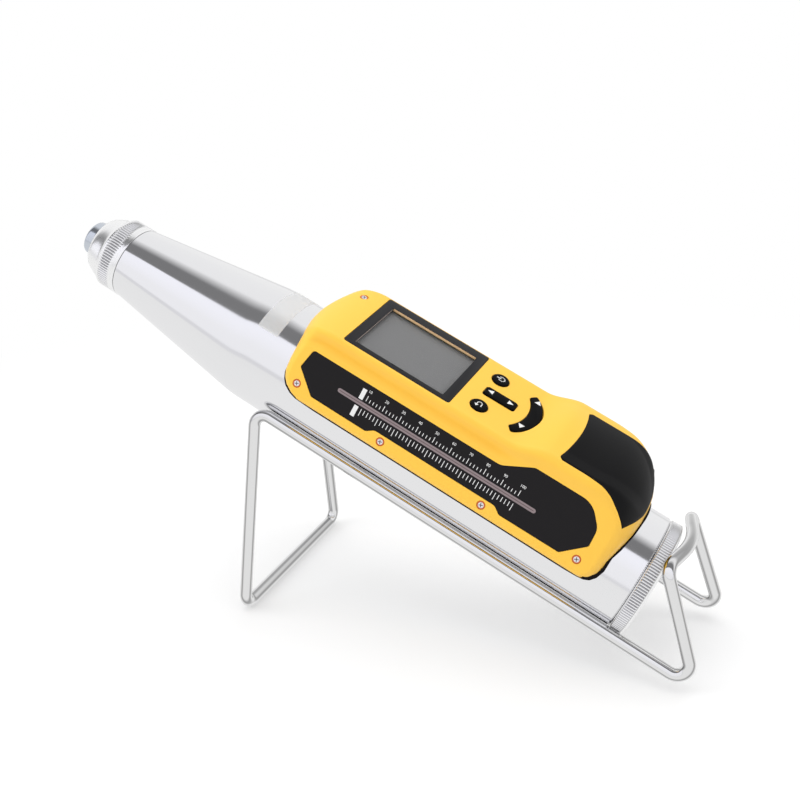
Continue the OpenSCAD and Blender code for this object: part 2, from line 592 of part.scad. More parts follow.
// Key outlines, seen from above, grown by g
module crescent_shape(g) difference() {
    intersection() {
        translate([key_x + 0.5, -0.4]) circle(crescent_r + g);
        translate([key_x + 0.5, -0.4]) polygon([[0, 0], [22, 29 + g * 2], [60, 0], [22, -29 - g * 2]]);
    }
    translate([key_x - 6.8, -0.4]) circle(crescent_r + 2 - g);
}
module rocker_shape(g) polygon(rounded([[key_x - 6.8 - g, -2.7 - g], [key_x + 6.8 + g, -2.7 - g],
    [key_x + 6.8 + g, 2.7 + g], [key_x - 6.8 - g, 2.7 + g]], [1, 1, 1, 1], 3));
module round_key_shape(side, g) translate([key_x - 4.6, key_y * side]) circle(key_d / 2 + g);
module key_shapes(g) {
    crescent_shape(g);
    rocker_shape(g);
    for (s = [-1, 1]) round_key_shape(s, g);
}
module rect(l, w, y = lcd_y) translate([lcd_x, y]) square([l, w], center = true);

// Yellow moulded cover
key_clear = 0.3;
module cover() hammer() color([1, 0.78, 0.2]) difference() {
    intersection() {
        skin(0, OUTER_X, 4);
        side_prism(0, edge_z, 4);
    }
    skin(wall, inner_x(wall), 2);
    rod_x(0, big, base_r + 0.03);
    translate([0, 0, top_h - 1.2]) linear_extrude(20) rect(bezel_l + 0.2, bezel_w + 0.2, bezel_y);
    translate([0, 0, 30]) linear_extrude(20) rect(lcd_l + 3, lcd_w + 3);
    translate([0, 0, 30]) linear_extrude(20) key_shapes(key_clear);
    intersection() {
        pad_prism(0.1);
        difference() {
            box([pad_x0 - 4, -40, 20], [house_x1 + 10, 40, 70]);
            skin(pad_t, PAD_X, 3);
        }
    }
    scale_face() {
        translate([0, 0, face_d - panel_t - 0.2]) linear_extrude(20) panel_shape(0.12);
        translate([0, 0, 29]) linear_extrude(20) slot_shape(slot_w + 1.6);
    }
    for (side = [1, -1]) mirrored_side(side) for (p = SCREWS) translate([p.x, p.y, 0]) {
        translate([0, 0, face_d - 1]) cylinder(h = 20, r = screw_r + 0.05, $fn = 32);
        translate([0, 0, 24]) cylinder(h = 20, r = shank_r + 0.15, $fn = 24);
    }
    translate([top_screw.x, top_screw.y, 0]) {
        translate([0, 0, top_h - 2.4]) cylinder(h = 20, r = screw_r + 0.05, $fn = 32);
        translate([0, 0, 20]) cylinder(h = 30, r = shank_r + 0.15, $fn = 24);
    }
}

module screw() difference() {
    union() {
        translate([0, 0, -0.95]) cylinder(h = 0.9, r = screw_r, $fn = 32);
        translate([0, 0, -4.4]) cylinder(h = 3.6, r = shank_r - 0.02, $fn = 24);
    }
    for (a = [0, 90]) rotate([0, 0, a]) translate([0, 0, 0]) cube([2.2, 0.5, 1.1], center = true);
}
module cover_screws() hammer() color("goldenrod") {
    for (side = [1, -1]) mirrored_side(side) for (p = SCREWS) translate([p.x, p.y, face_d]) screw();
    translate([top_screw.x, top_screw.y, top_h - 1.4]) screw();
}

module grip_pad() hammer() color([0.1, 0.1, 0.1]) difference() {
    intersection() {
        pad_prism(0);
        skin(-pad_proud, PAD_X, 3);
    }
    skin(pad_t - 0.05, PAD_X, 3);
}

module scale_panel() hammer() color([0.11, 0.11, 0.12]) scale_face() difference() {
    translate([0, 0, panel_face - panel_t]) linear_extrude(panel_t) panel_shape(0);
    translate([0, 0, 20]) linear_extrude(20) slot_shape(slot_w);
}

// Clear strip that closes the slot over the rider
window_t = 0.7;
module slot_window() hammer() color([0.78, 0.68, 0.7, 0.6]) scale_face()
    translate([0, 0, panel_face - window_t - 0.05]) linear_extrude(window_t) slot_shape(slot_w - 0.04);

module display_bezel() hammer() color([0.1, 0.1, 0.11]) difference() {
    translate([0, 0, top_h - 1.15]) linear_extrude(1.1) rect(bezel_l, bezel_w, bezel_y);
    translate([0, 0, 20]) linear_extrude(60) rect(lcd_l, lcd_w);
}

module display_glass() hammer() color([0.7, 0.75, 0.78, 0.5])
    translate([0, 0, top_h - 2.15]) linear_extrude(0.95) rect(lcd_l + 2.6, lcd_w + 2.6);

module lcd_module() hammer() color([0.45, 0.46, 0.45])
    translate([0, 0, board_z + board_t + 0.1]) linear_extrude(inner_top - board_z - board_t - 0.3)
        rect(lcd_l + 4.4, lcd_w + 2);

module main_board() hammer() color("darkgreen") difference() {
    box([board_x0, -board_w / 2, board_z], [board_x1, board_w / 2, board_z + board_t]);
    for (x = [board_x0 + board_in, board_x1 - board_in], y = [-1, 1] * (board_w / 2 - 4.5))
        translate([x, y, 0]) cylinder(h = big, r = 1.1);
}

module battery() hammer() color("steelblue")
    translate([0, 0, board_z - 0.55]) linear_extrude(7.6)
        translate([board_x1 + 3.4, -battery_w / 2]) square([battery_l, battery_w]);

module key_mat() hammer() color("lightgray")
    translate([0, 0, board_z + board_t + 0.05]) linear_extrude(flange_z - key_travel - 0.15 - board_z - board_t)
        translate([key_x + 3, 0]) square([crescent_r + 13, 2 * key_y + 9.2], center = true);

// A key: the cap through the cover and a wider flange under its wall
module key_body(h) {
    translate([0, 0, flange_z + 0.7]) linear_extrude(key_top - flange_z - 0.7 + h) children(0);
    translate([0, 0, flange_z]) linear_extrude(0.8) children(1);
}
module power_key() hammer() color([0.1, 0.1, 0.1]) key_body(0) { round_key_shape(1, 0); round_key_shape(1, 0.9); }
module back_key() hammer() color([0.1, 0.1, 0.1]) key_body(0) { round_key_shape(-1, 0); round_key_shape(-1, 0.9); }
module arrow_rocker() hammer() color([0.1, 0.1, 0.1]) {
    key_body(0) {
        rocker_shape(0);
        rocker_shape(0.7);
    }
    translate([key_x, 0, flange_z + 0.3]) rotate([90, 0, 0]) cylinder(h = 4.4, r = 0.6, center = true, $fn = 24);
}
module crescent_rocker() hammer() color([0.1, 0.1, 0.1]) {
    key_body(0) {
        crescent_shape(0);
        crescent_shape(0.6);
    }
    translate([0, 0, flange_z + 0.3]) rod_x(key_x + 12.8, key_x + 16.4, 0.6, fn = 24);
}

// Lock: collar in the barrel wall, sprung button whose nose drops into the groove of the disk
module lock_collar() hammer() color("silver") lock_frame() difference() {
    translate([0, 0, bore_r + 3.05]) cylinder(h = 5.2, r = 5.85);
    translate([0, 0, bore_r + 4]) cylinder(h = 9, r = 4 + fit);
    cylinder(h = big, r = 2.4 + fit);
}
module lock_button() hammer() color("silver") lock_frame() {
    translate([0, 0, bore_r + 7]) cylinder(h = 4.4, r = 4);
    translate([0, 0, bore_r + 1.6]) cylinder(h = 5.5, r = 2.4);
    translate([0, 0, bore_r + 0.3]) cylinder(h = 1.4, r = 1.2);
}
module lock_spring() hammer() color("lightsteelblue") lock_frame() rotate([0, -90, 0])
    spring(bore_r + 4.1, 2.8, 3.2, 0.5, 3, "lock_spring");

wire_rest();
barrel();
front_cap();
felt_seal();
two_part_ring();
guide_sleeve();
rear_cover();
trip_screw();
lock_nut();
impact_spring();
compression_spring();
impact_plunger();
buffer_spring();
guide_bar();
guide_disk();
pawl_pin();
pawl_spring();
pawl();
hammer_mass();
pointer_rod();
rider();
sensor_strip();
base_frame();
cover();
cover_screws();
grip_pad();
scale_panel();
slot_window();
display_bezel();
display_glass();
lcd_module();
main_board();
battery();
key_mat();
power_key();
back_key();
arrow_rocker();
crescent_rocker();
lock_collar();
lock_button();
lock_spring();
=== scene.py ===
# The rebound test hammer on its wire rest, dressed for the render.
# Lengths are written in millimetres along the hammer: x runs back from the seam of the
# front cap, y away from the scale and z out of the display. placeHammer turns them into
# the row frame in metres.
import math
import bpy
import bmesh
import numpy as np
from mathutils import Matrix, Vector


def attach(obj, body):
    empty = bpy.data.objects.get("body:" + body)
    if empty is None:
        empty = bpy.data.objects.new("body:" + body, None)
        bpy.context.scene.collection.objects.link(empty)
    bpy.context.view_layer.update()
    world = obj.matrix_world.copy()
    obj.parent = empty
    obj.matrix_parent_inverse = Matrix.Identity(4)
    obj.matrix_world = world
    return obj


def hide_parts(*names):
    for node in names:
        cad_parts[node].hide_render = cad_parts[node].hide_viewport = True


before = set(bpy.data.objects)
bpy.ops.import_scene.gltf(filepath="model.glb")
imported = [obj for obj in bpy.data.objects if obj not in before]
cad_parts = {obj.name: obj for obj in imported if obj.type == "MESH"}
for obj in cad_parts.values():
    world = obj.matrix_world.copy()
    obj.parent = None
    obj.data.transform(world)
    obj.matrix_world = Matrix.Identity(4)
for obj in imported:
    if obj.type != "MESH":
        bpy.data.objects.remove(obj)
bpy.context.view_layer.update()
print("frame loaded")

# Places
rest = dict(wire=5.0, bend=5.0, rodY=25.2, footY=40.0, frontH=91.0, frontLean=7.5, footX=-50.8,
            rodRun=181.0, peakH=49.8, peakLean=13.6, peakY=20.4, bow=5.6, bowR=45.0, seatGap=0.25)
barrel = dict(r=25.3, bore=20.0, coneR=15.7, coneL=69.0, end=247.2, rear=6.4)
roll = math.radians(5.5)
faceRoll = math.radians(65)
tilt = math.atan2(rest["frontH"] - rest["wire"] / 2, rest["rodRun"])


# Where the seam of the front cap sits: rods touch the barrel, the bow stops the rear cover.
def seatOfHammer():
    r = rest
    front = np.array([r["footX"] + r["frontLean"], r["frontH"]])
    along = np.array([math.cos(tilt), -math.sin(tilt)])
    across = np.array([math.sin(tilt), math.cos(tilt)])
    seat = math.sqrt((barrel["r"] + r["wire"] / 2 + r["seatGap"]) ** 2 - r["rodY"] ** 2)
    half = math.atan2(r["bow"], r["peakY"])
    bowX = front[0] + r["rodRun"] - r["peakLean"] + r["bow"] - r["bowR"] * (1 / math.cos(half) - 1)
    reach = np.dot(np.array([bowX - front[0], r["peakH"] - r["frontH"]]), along)
    spot = front + across * seat + along * (reach - barrel["end"] - barrel["rear"] - r["seatGap"] - r["wire"] / 2)
    return np.array([spot[0], 0.0, spot[1]])


def turnX(a):
    return np.array([[1, 0, 0], [0, math.cos(a), -math.sin(a)], [0, math.sin(a), math.cos(a)]])


def turnY(a):
    return np.array([[math.cos(a), 0, math.sin(a)], [0, 1, 0], [-math.sin(a), 0, math.cos(a)]])


hammerSpot = seatOfHammer()
hammerTurn = turnY(tilt) @ turnX(roll)
faceTurn = turnX(faceRoll)


# Hammer millimetres to row-frame metres.
def placeHammer(p):
    return (np.asarray(p, float) @ hammerTurn.T + hammerSpot) / 1000


# Points (x, u up the scale face, d out of it) to row-frame metres.
def placeFace(p):
    return placeHammer(np.asarray(p, float) @ faceTurn.T)


# The far side of the cover carries the same face mirrored
def placeFarFace(p):
    return placeHammer((np.asarray(p, float) @ faceTurn.T) * [1, -1, 1])


# Mesh helpers
def addObject(name, data):
    obj = bpy.data.objects.new(name, data)
    bpy.context.scene.collection.objects.link(obj)
    return obj


# A new object from arrays: doubles merged, and the faces of a closed mesh turned outwards.
def arrayObject(name, verts, faces, merge, cleanEdges, closed=True):
    mesh = bpy.data.meshes.new(name)
    mesh.from_pydata(np.asarray(verts, float).tolist(), [], faces if isinstance(faces, list) else faces.tolist())
    bm = bmesh.new()
    bm.from_mesh(mesh)
    bmesh.ops.remove_doubles(bm, verts=bm.verts, dist=merge)
    if cleanEdges:
        bmesh.ops.dissolve_degenerate(bm, edges=bm.edges, dist=merge / 4)
    if closed:
        bmesh.ops.recalc_face_normals(bm, faces=bm.faces)
        if bm.calc_volume(signed=True) < 0:
            bmesh.ops.reverse_faces(bm, faces=bm.faces)
    bm.to_mesh(mesh)
    bm.free()
    return addObject(name, mesh)


def makePiece(name, verts, faces, finish, body, node=None, sharp=35, merge=2e-6, closed=True):
    obj = arrayObject(name, verts, faces, merge, True, closed)
    finishPiece(obj, finish, body, node, sharp)
    return obj


# Smooth but for edges over the sharp angle; rides on the body and stands for the nodes.
def finishPiece(obj, finish, body, node=None, sharp=35):
    obj.data.polygons.foreach_set("use_smooth", [True] * len(obj.data.polygons))
    obj.data.set_sharp_from_angle(angle=math.radians(sharp))
    obj.data.materials.clear()
    obj.data.materials.append(look[finish])
    if body:
        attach(obj, body)
    for n in ([node] if isinstance(node, str) else node or []):
        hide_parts(n)


# Quads of a grid of nu by nv points, wrapped round where asked.
def gridFaces(nu, nv, wrapU=False, wrapV=False):
    i = np.arange(nu if wrapU else nu - 1)
    j = np.arange(nv if wrapV else nv - 1)
    a, b = np.meshgrid(i, j, indexing="ij")
    a2, b2 = (a + 1) % nu, (b + 1) % nv
    return np.stack([a * nv + b, a * nv + b2, a2 * nv + b2, a2 * nv + b], -1).reshape(-1, 4)


# A profile of (x, r) carried round the barrel axis; ripple(x, r, angle) changes the radius.
def turned(profile, steps=160, ripple=None):
    p = np.asarray(profile, float)
    a = np.arange(steps) * 2 * np.pi / steps
    r = np.repeat(p[:, 1:2], steps, 1)
    if ripple is not None:
        r = ripple(p[:, 0:1], r, a[None, :])
    grid = np.stack([np.repeat(p[:, 0:1], steps, 1), r * np.sin(a), r * np.cos(a)], -1)
    return grid.reshape(-1, 3), gridFaces(len(p), steps, wrapV=True)


# Each corner of a closed or open outline replaced by an arc that never outgrows its sides.
def rounded(points, radii, steps):
    p = np.asarray(points, float)
    out = []
    for i in range(len(p)):
        if radii[i] <= 0:
            out.append(p[i])
            continue
        a, b, c = p[i - 1], p[i], p[(i + 1) % len(p)]
        out.extend(cornerArc(a, b, c, radii[i], steps))
    return np.array(out)


def cornerArc(a, b, c, r, steps):
    u = (a - b) / np.linalg.norm(a - b)
    v = (c - b) / np.linalg.norm(c - b)
    half = math.acos(max(-1, min(1, float(u @ v)))) / 2
    if half > 1.57:
        return np.repeat(b[None, :], steps + 1, 0) + (c - a) * np.linspace(-0.01, 0.01, steps + 1)[:, None]
    t = min(r / math.tan(half), 0.46 * np.linalg.norm(a - b), 0.46 * np.linalg.norm(c - b))
    rr = t * math.tan(half)
    o = b + (u + v) / np.linalg.norm(u + v) * rr / math.sin(half)
    start, end = b + u * t - o, b + v * t - o
    sweep = math.pi - 2 * half
    s = np.linspace(0, 1, steps + 1)[:, None]
    return o + (np.sin((1 - s) * sweep) * start + np.sin(s * sweep) * end) / math.sin(sweep)


# A flat outline drawn up from low to high, closed at both ends, then placed.
def prism(outline, low, high, place):
    o = np.asarray(outline, float)
    n = len(o)
    v = np.vstack([np.c_[o, np.full(n, low)], np.c_[o, np.full(n, high)]])
    faces = [[i, (i + 1) % n, n + (i + 1) % n, n + i] for i in range(n)]
    faces += [list(range(n))[::-1], [n + i for i in range(n)]]
    return place(v), faces


# An outline moved out by g along its own normals.
def grow(outline, g):
    o = np.asarray(outline, float)
    t = np.roll(o, -1, 0) - np.roll(o, 1, 0)
    n = np.c_[t[:, 1], -t[:, 0]] / np.maximum(np.linalg.norm(t, axis=1), 1e-9)[:, None]
    area = np.sum(o[:, 0] * np.roll(o, -1, 0)[:, 1] - np.roll(o, -1, 0)[:, 0] * o[:, 1])
    return o + n * (g if area > 0 else -g)


# A key top: an outline drawn up, its upper edge rounded in by edge, closed by a flat top.
def dome(outline, low, high, edge, place, rings=5):
    n = len(outline)
    quarter = np.linspace(0, np.pi / 2, rings)
    levels = [(0.0, low)] + [(edge * (1 - math.cos(q)), high - edge + edge * math.sin(q)) for q in quarter]
    v = np.vstack([np.c_[grow(outline, -inset), np.full(n, z)] for inset, z in levels])
    faces = gridFaces(len(levels), n, wrapV=True).tolist()
    top = (len(levels) - 1) * n
    faces += [list(range(n))[::-1], [top + i for i in range(n)]]
    return place(v), faces


# Cuts closed cutters out of obj with exact booleans, and leaves a plain mesh.
def cutWith(obj, cutters, operation="DIFFERENCE"):
    for cutter in cutters:
        mod = obj.modifiers.new("cut", "BOOLEAN")
        mod.operation, mod.object, mod.solver = operation, cutter, "EXACT"
    graph = bpy.context.evaluated_depsgraph_get()
    mesh = bpy.data.meshes.new_from_object(obj.evaluated_get(graph))
    obj.modifiers.clear()
    old = obj.data
    obj.data = mesh
    bpy.data.meshes.remove(old)
    for cutter in cutters:
        bpy.data.objects.remove(cutter)


def cutter(verts, faces):
    return arrayObject("cutter", verts, faces, 1e-6, False)


# Finishes
def plainMaterial(name, color, roughness=0.5, metallic=0.0, **sockets):
    mat = bpy.data.materials.new(name)
    mat.use_nodes = True
    shader = mat.node_tree.nodes["Principled BSDF"]
    shader.inputs["Base Color"].default_value = (*color, 1)
    shader.inputs["Roughness"].default_value = roughness
    shader.inputs["Metallic"].default_value = metallic
    for key, value in sockets.items():
        shader.inputs[key.replace("_", " ")].default_value = value
    return mat


# Colour stops (position, colour) set from the first to the last
def fillRamp(node, stops):
    steps = node.color_ramp.elements
    steps.remove(steps[1])
    steps[0].position, steps[0].color = stops[0][0], (*stops[0][1], 1)
    for at, color in stops[1:]:
        steps.new(at).color = (*color, 1)


def addNode(mat, kind, **values):
    node = mat.node_tree.nodes.new(kind)
    for key, value in values.items():
        if hasattr(node, key):
            setattr(node, key, value)
        else:
            node.inputs[key.replace("_", " ")].default_value = value
    return node


# Shared fine unevenness: a mask and a height from noise on Object coordinates.
def makeSpeckleGroup():
    group = bpy.data.node_groups.new("surfaceSpeckle", "ShaderNodeTree")
    for label, value in (("Scale", 900.0), ("Detail", 3.0)):
        group.interface.new_socket(label, in_out="INPUT", socket_type="NodeSocketFloat").default_value = value
    for label in ("Mask", "Height"):
        group.interface.new_socket(label, in_out="OUTPUT", socket_type="NodeSocketFloat")
    start, end, coords, noise, soft = [group.nodes.new(kind) for kind in (
        "NodeGroupInput", "NodeGroupOutput", "ShaderNodeTexCoord", "ShaderNodeTexNoise", "ShaderNodeTexNoise")]
    soft.inputs["Scale"].default_value = 14
    link = group.links.new
    link(coords.outputs["Object"], noise.inputs["Vector"])
    link(coords.outputs["Object"], soft.inputs["Vector"])
    link(start.outputs["Scale"], noise.inputs["Scale"])
    link(start.outputs["Detail"], noise.inputs["Detail"])
    link(soft.outputs["Fac"], end.inputs["Mask"])
    link(noise.outputs["Fac"], end.inputs["Height"])
    return group


speckle = makeSpeckleGroup()


# Bump from the fine noise, and roughness that drifts between low and high.
def addSpeckle(mat, scale, bump, low, high, distance):
    tree = mat.node_tree
    group = addNode(mat, "ShaderNodeGroup", node_tree=speckle, Scale=scale)
    shader = tree.nodes["Principled BSDF"]
    drift = addNode(mat, "ShaderNodeMapRange", From_Min=0.35, From_Max=0.65, To_Min=low, To_Max=high)
    tree.links.new(group.outputs["Mask"], drift.inputs["Value"])
    tree.links.new(drift.outputs["Result"], shader.inputs["Roughness"])
    if bump:
        node = addNode(mat, "ShaderNodeBump", Strength=bump, Distance=distance)
        tree.links.new(group.outputs["Height"], node.inputs["Height"])
        tree.links.new(node.outputs["Normal"], shader.inputs["Normal"])
    return mat


# Name, colour, roughness, metallic, plain highlight, then of the unevenness: scale, strength,
# lowest and highest roughness, and depth in metres
finishRows = [
    ("barrelMetal", (0.88, 0.88, 0.89), 0.12, 1, 0.5, 500, 0.03, 0.08, 0.13, 2e-5),
    ("capMetal", (0.83, 0.84, 0.85), 0.22, 1, 0.5, 600, 0.08, 0.18, 0.26, 2e-5),
    ("chromeWire", (0.72, 0.72, 0.74), 0.08, 1, 0.5, 300, 0.03, 0.05, 0.1, 2e-5),
    ("plungerSteel", (0.62, 0.66, 0.72), 0.15, 1, 0.5, 400, 0.05, 0.12, 0.2, 2e-5),
    ("coverYellow", (0.97, 0.575, 0.058), 0.42, 0, 0.5, 1500, 0.12, 0.38, 0.46, 2e-5),
    ("baseBlack", (0.005, 0.004, 0.005), 0.5, 0, 0.1, 1200, 0.2, 0.45, 0.55, 2e-5),
    ("scaleBlack", (0.012, 0.011, 0.012), 0.4, 0, 0.12, 900, 0.05, 0.36, 0.44, 2e-5),
    ("padRubber", (0.0045, 0.0045, 0.005), 0.5, 0, 0.13, 1400, 0.5, 0.5, 0.6, 0.00006),
    ("bezelBlack", (0.016, 0.016, 0.018), 0.35, 0, 0.15, 900, 0.05, 0.25, 0.35, 2e-5),
    ("lcdGrey", (0.195, 0.197, 0.2), 0.5, 0, 0.1, 700, 0, 0.3, 0.4, 2e-5),
    ("keyBlack", (0.002, 0.002, 0.0025), 0.45, 0, 0.06, 1200, 0.15, 0.42, 0.5, 2e-5),
    ("markWhite", (0.8, 0.8, 0.8), 0.5, 0, 0.5, 900, 0, 0.45, 0.55, 2e-5),
    ("rodCopper", (0.3, 0.22, 0.2), 0.35, 0.8, 0.5, 900, 0.05, 0.3, 0.4, 2e-5),
    # painted reflection of the yellow cover on the far wall of the display window
    ("paintedGoldReflection", (0.98, 0.66, 0.36), 0.4, 0, 0.5, 900, 0, 0.3, 0.4, 2e-5),
    ("screwBrass", (0.6, 0.12, 0.03), 0.4, 0.3, 0.5, 900, 0.05, 0.25, 0.35, 2e-5),
    ("screwSteel", (0.9, 0.88, 0.87), 0.3, 1, 0.5, 900, 0.05, 0.25, 0.35, 2e-5),
    ("innerSteel", (0.5, 0.51, 0.53), 0.35, 1, 0.5, 500, 0.05, 0.3, 0.4, 2e-5),
    ("bronze", (0.6, 0.44, 0.2), 0.35, 1, 0.5, 500, 0.05, 0.3, 0.4, 2e-5),
    ("lineTan", (0.5, 0.42, 0.38), 0.5, 0, 0.5, 900, 0, 0.45, 0.55, 2e-5),
    ("bronzeDark", (0.13, 0.09, 0.095), 0.5, 0, 0.5, 900, 0, 0.45, 0.55, 2e-5),
    ("feltGrey", (0.2, 0.2, 0.2), 0.9, 0, 0.5, 2500, 0.8, 0.85, 0.95, 0.0001),
    ("boardGreen", (0.02, 0.16, 0.05), 0.4, 0, 0.5, 700, 0.05, 0.35, 0.45, 2e-5),
    ("batteryBlue", (0.06, 0.12, 0.3), 0.45, 0, 0.5, 700, 0.05, 0.4, 0.5, 2e-5),
    ("matGrey", (0.5, 0.5, 0.48), 0.6, 0, 0.5, 700, 0.05, 0.55, 0.65, 2e-5),
    ("slotFilm", (0.27, 0.215, 0.225), 0.4, 0, 0.2, 700, 0, 0.3, 0.4, 2e-5),
    ("riderWhite", (0.7, 0.7, 0.68), 0.5, 0, 0.5, 700, 0.05, 0.45, 0.55, 2e-5),
]
look = {}
for name, color, roughness, metallic, highlight, *unevenness in finishRows:
    look[name] = addSpeckle(plainMaterial(name, color, roughness, metallic, Specular_IOR_Level=highlight), *unevenness)
look["displayClear"] = plainMaterial("displayClear", (0.3, 0.3, 0.3), 0.2, 0.0, Alpha=0.08, Specular_IOR_Level=0.2)
look["clearBand"] = plainMaterial("clearBand", (0.9, 0.91, 0.92), 0.28, 0.0, Alpha=0.3)
for name in ("displayClear", "clearBand"):
    look[name].surface_render_method = "BLENDED"


# Bright wire: painted reflections, darker lines near both edges of the round, set by how each point faces the view
def edgeLines(mat):
    tree = mat.node_tree
    facing = addNode(mat, "ShaderNodeLayerWeight", Blend=0.5)
    ramp = addNode(mat, "ShaderNodeValToRGB")
    fillRamp(ramp, [(at, (level, level, level)) for at, level in
                    ((0.0, 0.84), (0.24, 0.82), (0.36, 0.36), (0.46, 0.42), (0.58, 0.82), (0.78, 0.8), (0.9, 0.4))])
    tree.links.new(facing.outputs["Facing"], ramp.inputs["Fac"])
    tree.links.new(ramp.outputs["Color"], tree.nodes["Principled BSDF"].inputs["Base Color"])


# Painted shade: a darker colour at the bottom of grooves, told by the point value "groove": for the
# knurls and for the soft groove of the cover
def grooveShade(mat, light, dark):
    tree = mat.node_tree
    groove = addNode(mat, "ShaderNodeAttribute", attribute_name="groove")
    mix = addNode(mat, "ShaderNodeMix", data_type="RGBA")
    mix.inputs[6].default_value, mix.inputs[7].default_value = (*light, 1), (*dark, 1)
    tree.links.new(groove.outputs["Fac"], mix.inputs[0])
    tree.links.new(mix.outputs[2], tree.nodes["Principled BSDF"].inputs["Base Color"])


# Painted reflections: dark lines on the bright wire
edgeLines(look["chromeWire"])
# Painted shade: a deeper orange at the bottom of the cover's groove
grooveShade(look["coverYellow"], (0.97, 0.56, 0.056), (0.96, 0.53, 0.038))
# Painted shade at the bottom of the knurls of both caps
grooveShade(look["capMetal"], (0.97, 0.97, 0.97), (0.42, 0.42, 0.43))

nodeLook = {
    "barrelMetal": ["lock_collar"], "innerSteel": ["trip_screw", "lock_nut", "impact_spring", "compression_spring",
        "buffer_spring", "guide_bar", "pawl_pin", "pawl_spring", "pawl", "hammer_mass", "lock_spring", "two_part_ring",
        "lock_button"],
    "bronze": ["guide_sleeve", "guide_disk"], "feltGrey": ["felt_seal"], "rodCopper": ["pointer_rod"],
    "riderWhite": ["rider"], "boardGreen": ["sensor_strip", "main_board"],
    "batteryBlue": ["battery"], "matGrey": ["key_mat"], "lcdGrey": ["lcd_module"],
}
for finish, nodes in nodeLook.items():
    for n in nodes:
        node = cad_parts[n]
        node.data.materials.clear()
        node.data.materials.append(look[finish])
print("finishes made")

# Wire rest
# A round tube along a closed path, its frame carried without twist and the last turn shared out.
def sweptTube(path, r, sides):
    nxt = np.roll(path, -1, 0)
    tangent = nxt - np.roll(path, 1, 0)
    tangent /= np.linalg.norm(tangent, axis=1)[:, None]
    normals = [np.cross(tangent[0], [0.3, 0.9, 0.2])]
    normals[0] /= np.linalg.norm(normals[0])
    for t in list(tangent[1:]) + [tangent[0]]:
        n = normals[-1] - t * (normals[-1] @ t)
        normals.append(n / np.linalg.norm(n))
    last, first = normals.pop(), normals[0]
    twist = math.atan2(float(np.cross(last, first) @ tangent[0]), float(last @ first))
    n = np.array(normals)
    b = np.cross(tangent, n)
    share = twist * np.arange(len(path)) / len(path)
    a = np.arange(sides) * 2 * np.pi / sides
    ang = a[None, :] + share[:, None]
    grid = path[:, None, :] + r * (np.cos(ang)[..., None] * n[:, None, :] + np.sin(ang)[..., None] * b[:, None, :])
    return grid.reshape(-1, 3), gridFaces(len(path), sides, True, True)


def makeRest():
    r = rest
    w = r["wire"] / 2
    frontX = r["footX"] + r["frontLean"]
    rearX = frontX + r["rodRun"]
    peakX = rearX - r["peakLean"]
    half = [(r["footX"], r["footY"], w), (frontX, r["rodY"], r["frontH"]), (rearX, r["rodY"], w),
            (peakX, r["peakY"], r["peakH"])]
    corners = [(x, -y, z) for x, y, z in half] + [(peakX + r["bow"], 0, r["peakH"])] + half[::-1]
    radii = [r["bend"]] * 4 + [r["bowR"]] + [r["bend"]] * 4
    path = rounded(corners, radii, 14)
    v, f = sweptTube(path, w, 40)
    makePiece("wireRest", v / 1000, f, "chromeWire", "wire_rest", "wire_rest")


makeRest()
print("wire rest made")

# Turned parts: knurls of the two caps, plunger with its bore, clear band in degrees from the top
capShape = dict(r=15.95, teeth=84, depth=0.5, bandFrom=-8.0, bandTo=-3.0)
rearShape = dict(r=25.3, teeth=140, depth=0.45, bandFrom=247.8, bandTo=252.5)
plunger = dict(r=7.5, tip=-24, end=80, boreR=4.1, boreFrom=36)
band = dict(x0=70.5, x1=80, fromTop=-39, toTop=75, low=25.32, high=25.38)


def smoothStep(t):
    c = np.clip(t, 0, 1)
    return c * c * (3 - 2 * c)


# Straight knurl: between its ends the radius drops between the teeth by the depth.
def knurlRipple(shape):
    def ripple(x, r, a):
        inBand = smoothStep((x - shape["bandFrom"]) / 0.5) * smoothStep((shape["bandTo"] - x) / 0.5)
        wave = (0.5 - 0.5 * np.cos(a * shape["teeth"])) ** 1.5
        return r - shape["depth"] * inBand * wave
    return ripple


def hammerPoints(obj):
    co = np.empty(len(obj.data.vertices) * 3)
    obj.data.vertices.foreach_get("co", co)
    return ((co.reshape(-1, 3) * 1000 - hammerSpot) @ hammerTurn).T


# Stores a mask of painted groove shade as the point value "groove"
def writeGroove(obj, values):
    groove = obj.data.attributes.new("groove", "FLOAT", "POINT")
    groove.data.foreach_set("value", values.astype(np.float32))


# Writes how deep each point lies in the knurl, the mask of the painted shade at the bottom of its grooves
def markGrooves(obj, shape):
    x, y, z = hammerPoints(obj)
    inBand = (x > shape["bandFrom"]) & (x < shape["bandTo"])
    writeGroove(obj, np.where(inBand, np.clip((shape["r"] - np.hypot(y, z)) / shape["depth"], 0, 1), 0))


# Hole of the plunger lock in the barrel: place, roll from the top, seat of the collar, radii
lock = dict(x=229.0, roll=math.radians(-155), seat=23.0, stemR=2.46, collarR=5.9)


# Turns points whose x runs out along the lock into the frame of the hammer
def alongLock(v):
    out = np.array([0, -math.sin(lock["roll"]), math.cos(lock["roll"])])
    side = np.array([1.0, 0, 0])
    return [lock["x"], 0, 0] + v[:, :1] * out + v[:, 1:2] * side + v[:, 2:] * np.cross(out, side)


